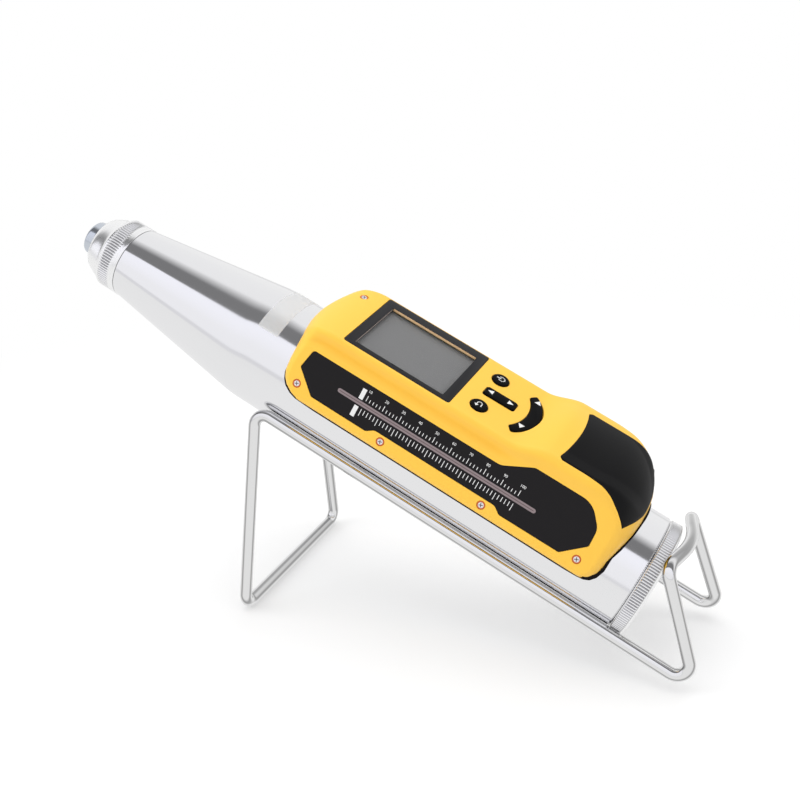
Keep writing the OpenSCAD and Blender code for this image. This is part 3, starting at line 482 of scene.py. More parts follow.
def makeTurned():
    b = barrel
    profile = [(-7, 10), (-7, 13.4), (0.05, 13.4), (0.05, b["coneR"] - 0.1), (0.15, b["coneR"])]
    for s in np.linspace(0, 1, 24)[1:]:
        profile.append((s * (b["coneL"] - 4), b["coneR"] + (b["r"] - 0.45 - b["coneR"]) * s))
    for s in np.linspace(0, 1, 8)[1:]:
        profile.append((b["coneL"] - 4 + 8 * s, b["r"] - 0.45 * (1 - s) ** 2.2))
    for x in np.linspace(b["coneL"] + 8, b["end"] - 0.5, 24):
        profile.append((x, b["r"]))
    profile += [(b["end"], b["r"] - 0.5), (b["end"], b["bore"]), (62, b["bore"]), (14, 10), (-7, 10)]
    v, f = turned(profile, 256)
    obj = makePiece("barrelShell", placeHammer(v), f, "barrelMetal", None)
    v, f = turned([(18, 0), (18, lock["stemR"]), (lock["seat"], lock["stemR"]), (lock["seat"], lock["collarR"]),
                   (30, lock["collarR"]), (30, 0)], 64)
    cutWith(obj, [cutter(placeHammer(alongLock(v)), f)])
    finishPiece(obj, "barrelMetal", "hammer", "barrel")
    cap = [(-19, 7.9), (-19, 8.6), (-18.85, 9.1), (-18.4, 9.8), (-17.6, 11.1), (-16.6, 12.1), (-15.5, 12.7),
           (-13.2, 13.75), (-10.8, 14.7), (-9.7, 15.3), (-9.3, 15.65), (-9.1, 15.85)]
    cap += [(x, capShape["r"]) for x in np.linspace(-8.9, -1.9, 12)]
    cap += [(-1.6, 15.9), (-1.5, 15.75), (-1.35, 15.75), (-1.2, 16), (-0.2, 16), (-0.05, 15.9), (-0.05, 13.55),
            (-11.2, 13.55), (-11.2, 11), (-15.3, 11), (-15.3, 7.9), (-19, 7.9)]
    v, f = turned(cap, capShape["teeth"] * 10, knurlRipple(capShape))
    obj = makePiece("frontCap", placeHammer(v), f, "capMetal", "hammer", "front_cap", sharp=40)
    # painted shade at the bottom of the knurl's grooves
    markGrooves(obj, capShape)
    e = b["end"]
    rear = [(e - 9, 17.7), (e - 9, 19.95), (e + 0.15, 19.95), (e + 0.15, 24.5), (e + 0.4, 24.8), (e + 0.8, 25.1),
            (e + 1, 25.3)]
    rear += [(x, rearShape["r"]) for x in np.linspace(e + 1.1, e + 4.9, 12)]
    rear += [(e + 5.1, 25.1), (e + 5.5, 24.5), (e + 6.0, 23.5), (e + 6.25, 22.8), (e + 6.4, 22.2),
             (e + 6.4, 9.3), (e + 5.8, 9.0), (e + 5.8, 0), (e + 2.4, 0), (e + 2.4, 17.7), (e - 9, 17.7)]
    v, f = turned(rear, rearShape["teeth"] * 8, knurlRipple(rearShape))
    obj = makePiece("rearCover", placeHammer(v), f, "capMetal", "hammer", "rear_cover",
                    sharp=40)
    # painted shade at the bottom of the knurl's grooves
    markGrooves(obj, rearShape)
    r, tip, end = plunger["r"], plunger["tip"], plunger["end"]
    nose = [(tip, 0), (tip, 5.3), (-23.85, 6), (-23.5, 6.7), (-23.1, 7.2), (-22.6, 7.45), (-22.3, r), (-19.4, r),
            (-19.3, 7.25), (-18.9, 7.25), (-18.8, r), (79.4, r), (end, 6.9), (end, plunger["boreR"]),
            (plunger["boreFrom"], plunger["boreR"]), (plunger["boreFrom"], 0)]
    v, f = turned(nose, 128)
    makePiece("plungerNose", placeHammer(v), f, "plungerSteel", "plunger_train", "impact_plunger")


# The bare clear sticker band: a thin sleeve over the top of the barrel
def makeBand():
    a = np.radians(np.linspace(band["fromTop"], band["toTop"], 58))
    x = np.repeat(np.linspace(band["x0"], band["x1"], 6), len(a))
    y, z = np.tile(np.sin(a), 6), np.tile(np.cos(a), 6)
    v, f = slabBetween(*[np.c_[x, r * y, r * z] for r in (band["high"], band["low"])], 6, len(a))
    makePiece("clearBand", placeHammer(v), f, "clearBand", "hammer", merge=1e-7)


makeTurned()
print("turned parts made")

# Yellow cover
house = dict(x0=87.0, x1=238.0, topH=38.7, topW=20.8, palmH=5.2, palmFrom=181.0, palmL=15.4, faceD=33.3, base=27.3,
             edge=76.0, noseL=19.0, tailL=20.6, planL=28.4, wall=2.2, rim=3.4, rimRise=0.6,
             groove=1.2)
# Where the housing meets the barrel: (degrees down from the top, x). The black base stands out round it.
frontEdge = [(-16, 85.4), (-11, 85.8), (5.9, 87.2), (23.2, 89.0), (36.6, 89.7), (49, 90.0), (60.3, 90.7), (65.8, 91.8),
             (70.2, 93.4), (74, 96.2), (76, 99.2), (76.4, 102.5), (76.9, 108)]
rearEdge = [(-13, 237.6), (3.6, 237.5), (18.6, 236.9), (37.9, 235.3), (53.8, 233.9), (61.4, 233.6), (68.2, 233.1),
            (73.8, 231.6), (76, 229.2), (76.4, 226)]
baseRear = [(-13, 238.4), (4.9, 238.3), (21.8, 237.7), (40.8, 236.2), (60, 235.1), (68.4, 233.9), (73.3, 232.2),
            (75.6, 230.0), (76.4, 227.5), (76.9, 222)]


def onFace(u, d):
    return np.array([-d * math.sin(faceRoll) + u * math.cos(faceRoll), d * math.cos(faceRoll) + u * math.sin(faceRoll)])


def noseAt(x):
    s = 1 - np.clip((x - house["x0"]) / house["noseL"], 0, 1)
    return (1 - s * s) ** 0.6


def tailAt(x, length):
    s = 1 - np.clip((house["x1"] - x) / length, 0, 1)
    return (1 - s * s) ** 0.74


# Level of a point above the line of the underside: lines of equal level run along the underside.
def levelOf(y, z):
    h = house
    low = onFace(-3, h["faceD"])
    foot = np.array([-h["base"] * math.sin(math.radians(h["edge"])), h["base"] * math.cos(math.radians(h["edge"]))])
    across = (foot - low) / np.linalg.norm(foot - low)
    return -np.abs(y) * -across[1] + z * across[0]


# x of an edge at a level
def edgeAt(edge, level):
    a = np.radians([e[0] for e in edge])
    r = house["base"]
    levels = np.where(a > 0, levelOf(r * np.sin(a), r * np.cos(a)), levelOf(0, r) + r * -a)
    order = np.argsort(levels)
    return np.interp(level, levels[order], np.array([e[1] for e in edge])[order])


# The ring is drawn down to the barrel near both ends: its height above the base, as a share of
# the full height, is the sine of a quarter round of length rim.
def roundedDown(x, t, ring):
    h = house
    level = levelOf(ring[:, 0], ring[:, 1])
    room = np.minimum(x - edgeAt(frontEdge, level) - 0.35, edgeAt(rearEdge, level) - x) - t
    r = np.hypot(ring[:, 0], ring[:, 1])
    floor = h["base"] - 0.4 - t
    share = np.sqrt(1 - (1 - np.clip(room / (h["rim"] + h["rimRise"] * np.clip(r - floor - 6, 0, 8)), 0, 1)) ** 2)
    new = np.where(r > floor, floor + (r - floor) * share, r)
    return ring * (new / np.maximum(r, 1e-6))[:, None]


# The groove above the scale face is deepest in the middle of its run
def grooveRun(x):
    return smoothStep((x - 92) / 9) * (1 - smoothStep((x - 178) / 12))


def between(a, b, count):
    s = np.linspace(0, 1, count + 2)[1:-1, None]
    return a + (b - a) * s


# How many steps each stretch of the cover's outline has
outlineSteps = dict(arc=12, face=24, valley=8, crown=25, far=18)


# Outline of the cover at x, shrunk by t: up the scale face, through the groove, over the top and
# down the far side
def section(x, t):
    h, k = house, outlineSteps
    n = k["arc"]
    nose = float(noseAt(x))
    e = nose * float(tailAt(x, h["tailL"]))
    wide = (0.62 + 0.38 * nose) * (0.29 + 0.71 * float(tailAt(x, h["planL"])))
    palm = float(smoothStep((x - h["palmFrom"]) / h["palmL"]))
    lip = h["base"] + 1.6 - t
    top = lip + (h["topH"] + 0.72 * h["palmH"] * palm - t - lip) * e
    crown = 1.6 * palm * e
    d = h["base"] + 1.4 - t + (h["faceD"] - h["base"] - 1.4) * e ** 0.12
    near = (h["topW"] - 1.6 * palm - t) * wide
    far = (h["topW"] + 0.2 + 3.3 * palm - t) * wide
    edgeA = math.radians(h["edge"])
    edgeZ = h["base"] * math.cos(edgeA)
    foot = np.array([-(h["base"] - 0.2) * math.sin(edgeA), edgeZ])
    low = onFace(-3, d)
    a, b = np.array([-near, top]), np.array([far, top])
    c, f = low * [-1, 1], foot * [-1, 1]
    s = np.linspace(0, 1, k["crown"] + 2)[1:-1, None]
    inset = 3 + 3.2 * palm
    ridge = np.c_[-near + inset + (near + far - 2 * inset) * s, top + crown * 4 * s * (1 - s)]
    deep = h["groove"] * float(grooveRun(x))
    brow = onFace((18.8 + 3.1 * palm) * (0.5 + 0.5 * e), d)
    valley = onFace((21.6 + 2.4 * palm) * (0.5 + 0.5 * e), d - deep)
    skirt, crease = cornerArc(foot, low, brow, 2.5, n), cornerArc(low, brow, valley, 2.2, n)
    trough = cornerArc(brow, valley, a, 1.8 + 6 * float(smoothStep((x - 176) / 12)), n)
    shoulder = cornerArc(valley, a, b, 2 + 4 * palm, n)
    far1, far2 = cornerArc(a, b, c, 3.2 + 4 * palm, n), cornerArc(b, c, f, 4, n)
    return roundedDown(x, t, np.vstack([
        foot, skirt, between(skirt[-1], crease[0], k["face"]), crease,
        trough, between(trough[-1], shoulder[0], k["valley"]), shoulder, ridge,
        far1, between(far1[-1], far2[0], k["far"]), far2, f, [0, edgeZ - 1]]))


def coverStations():
    h = house
    fine = 0.02 + 21 * np.linspace(0, 1, 64) ** 1.3
    return np.concatenate([h["x0"] + fine, np.arange(h["x0"] + 21.9, h["x1"] - 21.4, 0.9), (h["x1"] - fine)[::-1]])


# Height of the cover's skin, shrunk by t, above the points (x, y)
def heightAt(x, y, t):
    out = np.empty(len(x))
    k = outlineSteps
    start = k["arc"] + k["face"] + 2
    upper = slice(start, start + 4 * (k["arc"] + 1) + k["valley"] + k["crown"])
    for i in range(len(x)):
        s = section(x[i], t)[upper]
        out[i] = np.interp(y[i], s[:, 0], s[:, 1])
    return out


def skinMesh(t, stations):
    h = house
    rings = []
    for x in stations:
        ring = section(min(max(x, h["x0"]), h["x1"]), t)
        rings.append(np.c_[np.full(len(ring), x), ring])
    m = len(rings[0])
    last = (len(stations) - 1) * m
    faces = gridFaces(len(stations), m, wrapV=True).tolist()
    for k in range(m - 2):
        faces += [[m - 1, k, k + 1], [last + m - 1, last + k + 1, last + k]]
    return np.vstack(rings), faces


# Outlines shared by the cover and what sits in it
panelOutline = rounded([(99.2, 17.2), (97.4, 9), (106.6, 0.9), (131.9, 0.8), (134.9, 3), (188.6, 3), (191.6, 0.8),
                        (217.2, 0.9), (225.3, 8.8), (224.8, 16), (218.5, 23.4), (194.5, 23.4), (183, 17.3)],
                       [1.5, 0.8, 0.8, 2, 3, 3, 2, 1, 1, 6, 9, 4, 6], 6)
slotShape = dict(x0=114.7, length=88.0, u=9.1, w=1.8)
screwSpots = [(99.1, 2.4), (139, 0.3), (184.1, 0.3), (224.1, 2.2)]
topScrew = (99.0, 12.5)
screw = dict(recessR=1.75, ringR=1.7, headR=1.2, turn=0.4, crossL=0.85, crossW=0.16)
display = dict(x=131.0, bezelY=0.5, bezelL=47.4, bezelW=38.4, lcdY=-0.4, lcdL=39.6, lcdW=31.2,
               openL=42.6, openW=34.2, glassL=42.0, glassW=33.6)
keys = dict(x=168.6, back=4.6, y=10.4, d=7.0, gap=0.3, rockerL=13.6, rockerW=5.4, crescentR=17.0,
            low=35.6, top=39.3)
pad = dict(front=199.5, hollow=2.3, half=17.0, rear=232.0, bow=4.8, proud=0.25, thick=1.5, edge=0.9,
           sideX=(199, 211, 218, 223, 227.5, 232, 237), sideHalf=(17, 17, 17.2, 17.6, 18.3, 19.7, 19.7))


def circle(x, y, r, steps=48):
    a = np.arange(steps) * 2 * np.pi / steps
    return np.c_[x + r * np.cos(a), y + r * np.sin(a)]


def rectangle(x, y, length, width, r):
    corners = [(x + i * length / 2, y + j * width / 2) for i, j in ((-1, -1), (1, -1), (1, 1), (-1, 1))]
    return rounded(corners, [r] * 4, 5)


def slotOutline(w):
    s = slotShape
    a = np.linspace(-np.pi / 2, np.pi / 2, 17)
    right = np.c_[s["x0"] + s["length"] - s["w"] / 2 + w / 2 * np.cos(a), s["u"] + w / 2 * np.sin(a)]
    left = np.c_[s["x0"] + s["w"] / 2 - w / 2 * np.cos(a), s["u"] - w / 2 * np.sin(a)]
    return np.vstack([right, left])


# The crescent rocker: an outer arc and an inner arc shifted to the front, between two rays
def crescentOutline(g):
    k = keys
    cx, cy, shift = k["x"] + 0.5, -0.4, 7.3
    half = math.atan2(29 + 2 * g, 22)
    a = np.linspace(-half, half, 33)
    outer = np.c_[cx + (k["crescentR"] + g) * np.cos(a), cy + (k["crescentR"] + g) * np.sin(a)]
    q = shift * np.cos(a[::-1])
    reach = -q + np.sqrt(q * q + (k["crescentR"] + 2 - g) ** 2 - shift * shift)
    inner = np.c_[cx + reach * np.cos(a[::-1]), cy + reach * np.sin(a[::-1])]
    corners = np.vstack([outer, inner])
    radii = np.zeros(len(corners))
    radii[[0, 32, 33, 65]] = 0.9
    keep = np.ones(len(corners), bool)
    keep[[1, 31, 34, 64]] = False
    return rounded(corners[keep], radii[keep], 5)


# Points over the pad, front to rear and near to far: its front edge is hollow, its rear edge bowed.
# With angle q from -90 to 90 degrees across it, front = 199.5 + 2.3 cos^2 q, with 1.8 more right
# at the corners, and rear = 232 + 4.8 cos^2 q.
def padGrid(g, nu=70, nv=81):
    p = pad
    q, s = np.meshgrid(np.linspace(-np.pi / 2, np.pi / 2, nv), np.linspace(0, 1, nu))
    corner = np.clip(np.abs(np.sin(q)) - 0.88, 0, 1) / 0.12
    front = p["front"] - g + p["hollow"] * np.cos(q) ** 2 + 1.8 * corner ** 2
    rear = p["rear"] + (p["bow"] + g) * np.cos(q) ** 2
    x = front + (rear - front) * s
    y = (np.interp(x, p["sideX"], p["sideHalf"]) + g) * np.sin(q)
    inward = np.minimum(np.minimum(s, 1 - s) * (rear - front), (1 - np.abs(np.sin(q))) * p["half"])
    rise = np.sqrt(1 - (1 - np.clip(inward / p["edge"], 0, 1)) ** 2)
    return x.ravel(), y.ravel(), rise.ravel(), nu, nv


# A closed slab between two grids of the same size.
def slabBetween(upper, lower, nu, nv):
    n = nu * nv
    quads = gridFaces(nu, nv)
    rim = np.concatenate([np.arange(nv), np.arange(1, nu) * nv + nv - 1, (nu - 1) * nv + np.arange(nv - 1)[::-1],
                          np.arange(1, nu - 1)[::-1] * nv])
    walls = np.stack([rim, np.roll(rim, -1), np.roll(rim, -1) + n, rim + n], -1)
    return np.vstack([upper, lower]), np.vstack([quads[:, ::-1], quads + n, walls])


# How far the cutters reach out past the cover
beyond = 60


def makeCover():
    h, d, k = house, display, keys
    v, f = skinMesh(0.0, coverStations())
    obj = makePiece("coverShell", placeHammer(v), f, "coverYellow", None, sharp=32)
    v, f = skinMesh(h["wall"], np.linspace(h["x0"] + h["wall"], h["x1"] - h["wall"], 90))
    cuts = [cutter(placeHammer(v), f)]
    v, f = turned([(60, 0), (60, h["base"] + 0.03), (260, h["base"] + 0.03), (260, 0)], 180)
    cuts.append(cutter(placeHammer(v), f))
    gap = k["gap"]
    keyHoles = [crescentOutline(gap), rectangle(k["x"], 0, k["rockerL"] + 2 * gap, k["rockerW"] + 2 * gap, 1.2)]
    keyHoles += [circle(k["x"] - k["back"], side * k["y"], k["d"] / 2 + gap) for side in (-1, 1)]
    holes = [(rectangle(d["x"], d["bezelY"], d["bezelL"] + 0.2, d["bezelW"] + 0.2, 1.2), h["topH"] - 1.2, placeHammer),
             (rectangle(d["x"], d["lcdY"], d["openL"], d["openW"], 0.6), 30, placeHammer)]
    holes += [(outline, 30, placeHammer) for outline in keyHoles]
    holes += [(circle(*topScrew, screw["recessR"]), h["topH"] - 2.4, placeHammer),
              (grow(panelOutline, 0.12), h["faceD"] - 1.4, placeFace), (slotOutline(4), 29, placeFace)]
    for x, u in screwSpots:
        holes += [(circle(x, u, screw["recessR"]), h["faceD"] - 1, place) for place in (placeFace, placeFarFace)]
    cuts += [cutter(*prism(outline, low, beyond, place)) for outline, low, place in holes]
    x, y, _, nu, nv = padGrid(0.1)
    low = heightAt(x, y, pad["thick"])
    v, f = slabBetween(np.c_[x, y, np.full(len(x), beyond)], np.c_[x, y, low], nu, nv)
    cuts.append(cutter(placeHammer(v), f))
    cutWith(obj, cuts)
    finishPiece(obj, "coverYellow", "hammer", "cover", 32)
    # painted shade along the bottom of the groove above the scale face
    markValley(obj)


# Writes how near each point lies to the bottom of the groove, as exp(-(distance / 1.3)^2): the mask of the painted
# shade in the cover's groove
def markValley(obj):
    x, y, z = hammerPoints(obj)
    spot = onFace(21.6, house["faceD"] - 0.9)
    near = np.exp(-((-np.abs(y) - spot[0]) ** 2 + (z - spot[1]) ** 2) / 1.3 ** 2)
    writeGroove(obj, near * grooveRun(x))


# Rubber pad: the cover's skin raised, its rim rounded down to it
def makePad():
    x, y, rise, nu, nv = padGrid(0.0)
    top = heightAt(x, y, 0.0) - 0.1 + (pad["proud"] + 0.1) * rise
    low = heightAt(x, y, pad["thick"] - 0.05)
    v, f = slabBetween(np.c_[x, y, top], np.c_[x, y, low], nu, nv)
    makePiece("palmPad", placeHammer(v), f, "padRubber", "hammer", "grip_pad", sharp=50)


# The black base from the frame, cut to its outline on the barrel
def makeBase():
    a = np.radians(76.9 * np.sin(np.linspace(-np.pi / 2, np.pi / 2, 161)))
    front = np.interp(np.degrees(np.abs(a)), *zip(*frontEdge))
    rear = np.interp(np.degrees(np.abs(a)), *zip(*baseRear))
    share = np.linspace(0, 1, 12)[:, None]
    x = (front + (rear - front) * share).ravel()
    y, z = np.tile(np.sin(a), 12), np.tile(np.cos(a), 12)
    v, f = slabBetween(np.c_[x, 60 * y, 60 * z], np.c_[x, 20 * y, 20 * z], 12, len(a))
    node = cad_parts["base_frame"]
    mesh = node.data.copy()
    mesh.transform(node.matrix_world)
    obj = addObject("baseFrame", mesh)
    cutWith(obj, [cutter(placeHammer(v), f)], "INTERSECT")
    finishPiece(obj, "baseBlack", "hammer", "base_frame", 32)


makeCover()
makePad()
makeBase()
makeBand()
print("cover and pad made")

# Scale
scale = dict(x0=126.6, step=0.75, first=10, last=100, lineW=0.26, upper=10.9, lower=7.4, textU=14.9, textSize=1.6,
             print=0.03)


# Thin white blocks (x, u, width, height) on the scale face.
def markBoxes(marks, d0, d1):
    m = np.asarray(marks, float)
    cx = np.array([-1, 1, 1, -1]) / 2
    cu = np.array([-1, -1, 1, 1]) / 2
    flat = np.stack([m[:, None, 0] + cx * m[:, None, 2], m[:, None, 1] + cu * m[:, None, 3]], -1)
    v = np.concatenate([np.concatenate([flat, np.full((*flat.shape[:2], 1), d)], -1) for d in (d0, d1)], 1)
    base = np.arange(len(m))[:, None, None] * 8
    faces = np.array([[3, 2, 1, 0], [4, 5, 6, 7], [0, 1, 5, 4], [1, 2, 6, 5], [2, 3, 7, 6], [3, 0, 4, 7]])[None] + base
    return v.reshape(-1, 3), faces.reshape(-1, 4)


# Flat letters as arrays, centred at a point
def textMesh(text, size, at):
    curve = bpy.data.curves.new("text", "FONT")
    curve.body, curve.size, curve.align_x, curve.align_y = text, size, "CENTER", "CENTER"
    obj = addObject("text", curve)
    mesh = bpy.data.meshes.new_from_object(obj.evaluated_get(bpy.context.evaluated_depsgraph_get()))
    bpy.data.objects.remove(obj)
    co = np.array([v.co for v in mesh.vertices], float)
    flat = np.c_[co[:, :2] + at[:2], np.full(len(co), at[2])]
    return flat, [list(p.vertices) for p in mesh.polygons]


def joinArrays(parts):
    verts, faces, n = [], [], 0
    for v, f in parts:
        verts.append(v)
        faces += [[i + n for i in face] for face in (f.tolist() if isinstance(f, np.ndarray) else f)]
        n += len(v)
    return np.vstack(verts), faces


def makeScale():
    s = scale
    panelTop = house["faceD"] - 0.15
    v, f = prism(panelOutline, panelTop - 1.2, panelTop, placeFace)
    obj = makePiece("scalePanel", v, f, "scaleBlack", None, sharp=30)
    cutWith(obj, [cutter(*prism(slotOutline(slotShape["w"]), 20, 60, placeFace))])
    finishPiece(obj, "scaleBlack", "hammer", "scale_panel", 30)
    v, f = prism(slotOutline(slotShape["w"] - 0.04), panelTop - 0.75, panelTop - 0.05, placeFace)
    makePiece("slotWindow", v, f, "slotFilm", "hammer", "slot_window")
    v, f = prism(slotOutline(0.35), panelTop - 0.06, panelTop - 0.03, placeFace)
    makePiece("slotLine", v, f, "bronzeDark", "hammer")
    marks = []
    for k in range(s["first"], s["last"] + 1, 2):
        x = s["x0"] + s["step"] * (k - s["first"])
        tall = k % 10 == 0
        up, down = (13.2, 4.5) if tall else (12.2, 5.4)
        marks.append((x, (up + s["upper"]) / 2, s["lineW"], up - s["upper"]))
        marks.append((x, (down + s["lower"]) / 2, s["lineW"], s["lower"] - down))
    marks.append((124.25, 12.7, 1.8, 4.4))
    marks.append((124.25, 5.3, 1.8, 4.5))
    parts = [markBoxes(marks, panelTop, panelTop + s["print"])]
    for k in range(s["first"], s["last"] + 1, 10):
        x = s["x0"] + s["step"] * (k - s["first"])
        parts.append(textMesh(str(k), s["textSize"], (x, s["textU"], panelTop + s["print"])))
    v, f = joinArrays(parts)
    makePiece("scaleMarks", placeFace(v), f, "markWhite", "hammer", closed=False)


makeScale()
print("scale made")

# Display and keys
def makeDisplay():
    d, h = display, house
    outer = rectangle(d["x"], d["bezelY"], d["bezelL"], d["bezelW"], 1.2)
    v, f = dome(outer, h["topH"] - 1.15, h["topH"] - 0.02, 0.35, placeHammer, 4)
    obj = makePiece("displayBezel", v, f, "bezelBlack", None, sharp=40)
    cutWith(obj, [cutter(*prism(rectangle(d["x"], d["lcdY"], d["lcdL"], d["lcdW"], 0.3), 30, 60, placeHammer))])
    finishPiece(obj, "bezelBlack", "hammer", "display_bezel", 40)
    glass = rectangle(d["x"], d["lcdY"], d["glassL"], d["glassW"], 0.3)
    v, f = prism(glass, h["topH"] - 2.15, h["topH"] - 1.2, placeHammer)
    makePiece("displayGlass", v, f, "displayClear", "hammer", "display_glass")
    halfL, halfW = d["lcdL"] / 2, d["lcdW"] / 2
    top = h["topH"]
    # Painted reflection: a gold strip on the far wall of the window stands for the yellow cover reflected in it
    farWall = rectangle(d["x"], d["lcdY"] + halfW - 0.03, d["lcdL"] - 0.6, 0.06, 0.01)
    v, f = prism(farWall, top - 1.14, top - 0.12, placeHammer)
    makePiece("goldReflectionStrip", v, f, "paintedGoldReflection", "hammer")
    wideL, wideW = d["lcdL"] - 0.6, d["lcdW"] - 0.6
    lines = [(rectangle(d["x"] - halfL + 0.03, d["lcdY"], 0.06, wideW, 0.01), 1.1, 0.5),
             (rectangle(d["x"] + halfL - 0.12, d["lcdY"], 0.2, wideW, 0.02), 1.19, 1.16),
             (rectangle(d["x"], d["lcdY"] - halfW + 0.12, wideL, 0.2, 0.02), 1.19, 1.16)]
    lines = [prism(outline, top - low, top - high, placeHammer) for outline, low, high in lines]
    v, f = joinArrays(lines)
    makePiece("windowLines", v, f, "lineTan", "hammer")


def makeKeys():
    k = keys
    shapes = {
        "power_key": ("powerKey", circle(k["x"] - k["back"], k["y"], k["d"] / 2)),
        "back_key": ("backKey", circle(k["x"] - k["back"], -k["y"], k["d"] / 2)),
        "arrow_rocker": ("arrowRocker", rectangle(k["x"], 0, k["rockerL"], k["rockerW"], 1.2)),
        "crescent_rocker": ("crescentRocker", crescentOutline(0)),
    }
    for node, (name, outline) in shapes.items():
        v, f = dome(outline, k["low"], k["top"], 0.5, placeHammer)
        makePiece(name, v, f, "keyBlack", node, node, sharp=40)


# Strokes of even width along a line of points, drawn as thin blocks
def strokes(points, width, z):
    out = []
    for a, b in zip(points[:-1], points[1:]):
        a, b = np.array(a, float), np.array(b, float)
        t = (b - a) / np.linalg.norm(b - a)
        n = np.array([-t[1], t[0]]) * width / 2
        a, b = a - t * width / 2, b + t * width / 2
        flat = np.array([a - n, b - n, b + n, a + n])
        out.append((np.c_[flat, np.full(4, z)], [[0, 1, 2, 3]]))
    return out


def triangle(z, *corners):
    return np.array([(x, y, z) for x, y in corners]), [[0, 1, 2]]


# White symbols printed on the keys, each riding on its key
def makeSymbols():
    x, keyY = keys["x"], keys["y"]
    z = keys["top"] + 0.02
    ring = np.linspace(-0.75 * np.pi, 0.75 * np.pi, 15)
    ringX, ringY = x - 4.4, keyY + 0.3
    power = strokes([(ringX + 1.25 * math.cos(t), ringY + 1.25 * math.sin(t)) for t in ring], 0.45, z)
    power += strokes([(ringX - 1.9, ringY), (ringX - 0.5, ringY)], 0.45, z)
    backX, backY = x - 4.7, -keyY + 0.6
    bend = [(backX + 0.95 * math.cos(t), backY + 0.9 * math.sin(t)) for t in np.linspace(0, np.pi, 9)]
    back = strokes([(backX + 0.95, backY - 1.3)] + bend + [(backX - 0.95, backY - 1.2)], 0.42, z)
    back.append(triangle(z, (backX - 1.8, backY - 1.0), (backX - 0.1, backY - 1.0), (backX - 0.95, backY - 2.3)))
    arrows = [triangle(z, (x - 5.8, 0.2), (x - 3.4, -1.0), (x - 3.4, 1.4)),
              triangle(z, (x + 5.6, 0.2), (x + 3.2, 1.4), (x + 3.2, -1.0))]
    turns = [triangle(z, (x + 11.2, 8.7), (x + 14.0, 8.7), (x + 12.7, 11.1)),
             triangle(z, (x + 11.2, -7.5), (x + 12.7, -9.9), (x + 14.0, -7.5))]
    for name, parts, body in (("powerSymbol", power, "power_key"), ("backSymbol", back, "back_key"),
                              ("arrowSymbols", arrows, "arrow_rocker"), ("turnSymbols", turns, "crescent_rocker")):
        v, f = joinArrays(parts)
        makePiece(name, placeHammer(v), f, "markWhite", body, closed=False)


makeDisplay()
makeKeys()
makeSymbols()
print("display and keys made")


# Cover screws, each a copper ring round a bright cross head, with a dark block in the cross as painted shade
def makeScrews():
    rings, heads, crosses, recessShade = [], [], [], []
    spots = [(placeFace, x, u, house["faceD"] - 0.05) for x, u in screwSpots]
    spots += [(placeFarFace, x, u, house["faceD"] - 0.05) for x, u in screwSpots]
    spots.append((placeHammer, topScrew[0], topScrew[1], house["topH"] - 1.0))
    for place, x, u, top in spots:
        rings.append(dome(circle(x, u, screw["ringR"], 40), top - 0.9, top, 0.2, place))
        heads.append(dome(circle(x, u, screw["headR"], 32), top - 0.3, top + 0.14, 0.25, place))
        for a in (screw["turn"], screw["turn"] + np.pi / 2):
            c, s = math.cos(a), math.sin(a)
            bar = np.array([(-1, -1), (1, -1), (1, 1), (-1, 1)]) * [screw["crossL"], screw["crossW"]]
            bar = np.c_[bar[:, 0] * c - bar[:, 1] * s + x, bar[:, 0] * s + bar[:, 1] * c + u]
            crosses.append(prism(bar, top - 0.25, top + 0.4, place))
            # a dark block in the cross recess: painted shade
            recessShade.append(prism(bar * 0.98 + np.array([x, u]) * 0.02, top - 0.24, top + 0.02, place))
    v, f = joinArrays(rings)
    makePiece("screwRings", v, f, "screwBrass", "hammer", "cover_screws")
    v, f = joinArrays(heads)
    obj = makePiece("screwHeads", v, f, "screwSteel", None)
    cutWith(obj, [cutter(v, f) for v, f in crosses])
    finishPiece(obj, "screwSteel", "hammer")
    v, f = joinArrays(recessShade)
    makePiece("screwRecessShade", v, f, "bronzeDark", "hammer")


makeScrews()
print("screws made")

# Studio
studio = dict(
    world=0.8, floorLift=0.3, floorRadius=0.42,
    lamps=[("softTop", (0.0, 0.1, 1.2), (0, 0, 0), 1.2, 7), ("softLeft", (-1.1, -0.6, 0.7), (0, 0, 0), 0.9, 5)],
    strip=[(-1.9, (0.93, 0.93, 0.96)), (-0.56, (1.0, 1.0, 1.07)), (-0.53, (0.2, 0.2, 0.205)), (-0.1, (0.2, 0.2, 0.205)),
           (0.24, (0.9, 0.9, 0.91)), (1.9, (0.93, 0.93, 0.93))],
    horizon=[(0.0, 0.82), (0.06, 0.82), (0.1, 1.0), (1.0, 1.0)])
camera = dict(spot=(217.06, -332.19, 287.20), right=(0.8348, 0.4614, 0.3000), down=(0.5154, -0.4645, -0.7200),
              lens=49.03)


def makeCamera():
    cam = bpy.data.cameras.new("camera")
    cam.lens, cam.sensor_width = camera["lens"], 36
    cam.clip_start, cam.clip_end = 0.01, 50
    obj = addObject("camera", cam)
    right = hammerTurn @ np.array(camera["right"])
    right /= np.linalg.norm(right)
    up = -(hammerTurn @ np.array(camera["down"]))
    up -= right * (up @ right)
    up /= np.linalg.norm(up)
    back = np.cross(right, up)
    columns = np.c_[right, up, back, placeHammer(camera["spot"])]
    obj.matrix_world = Matrix(columns.tolist() + [[0, 0, 0, 1]])
    bpy.context.scene.camera = obj


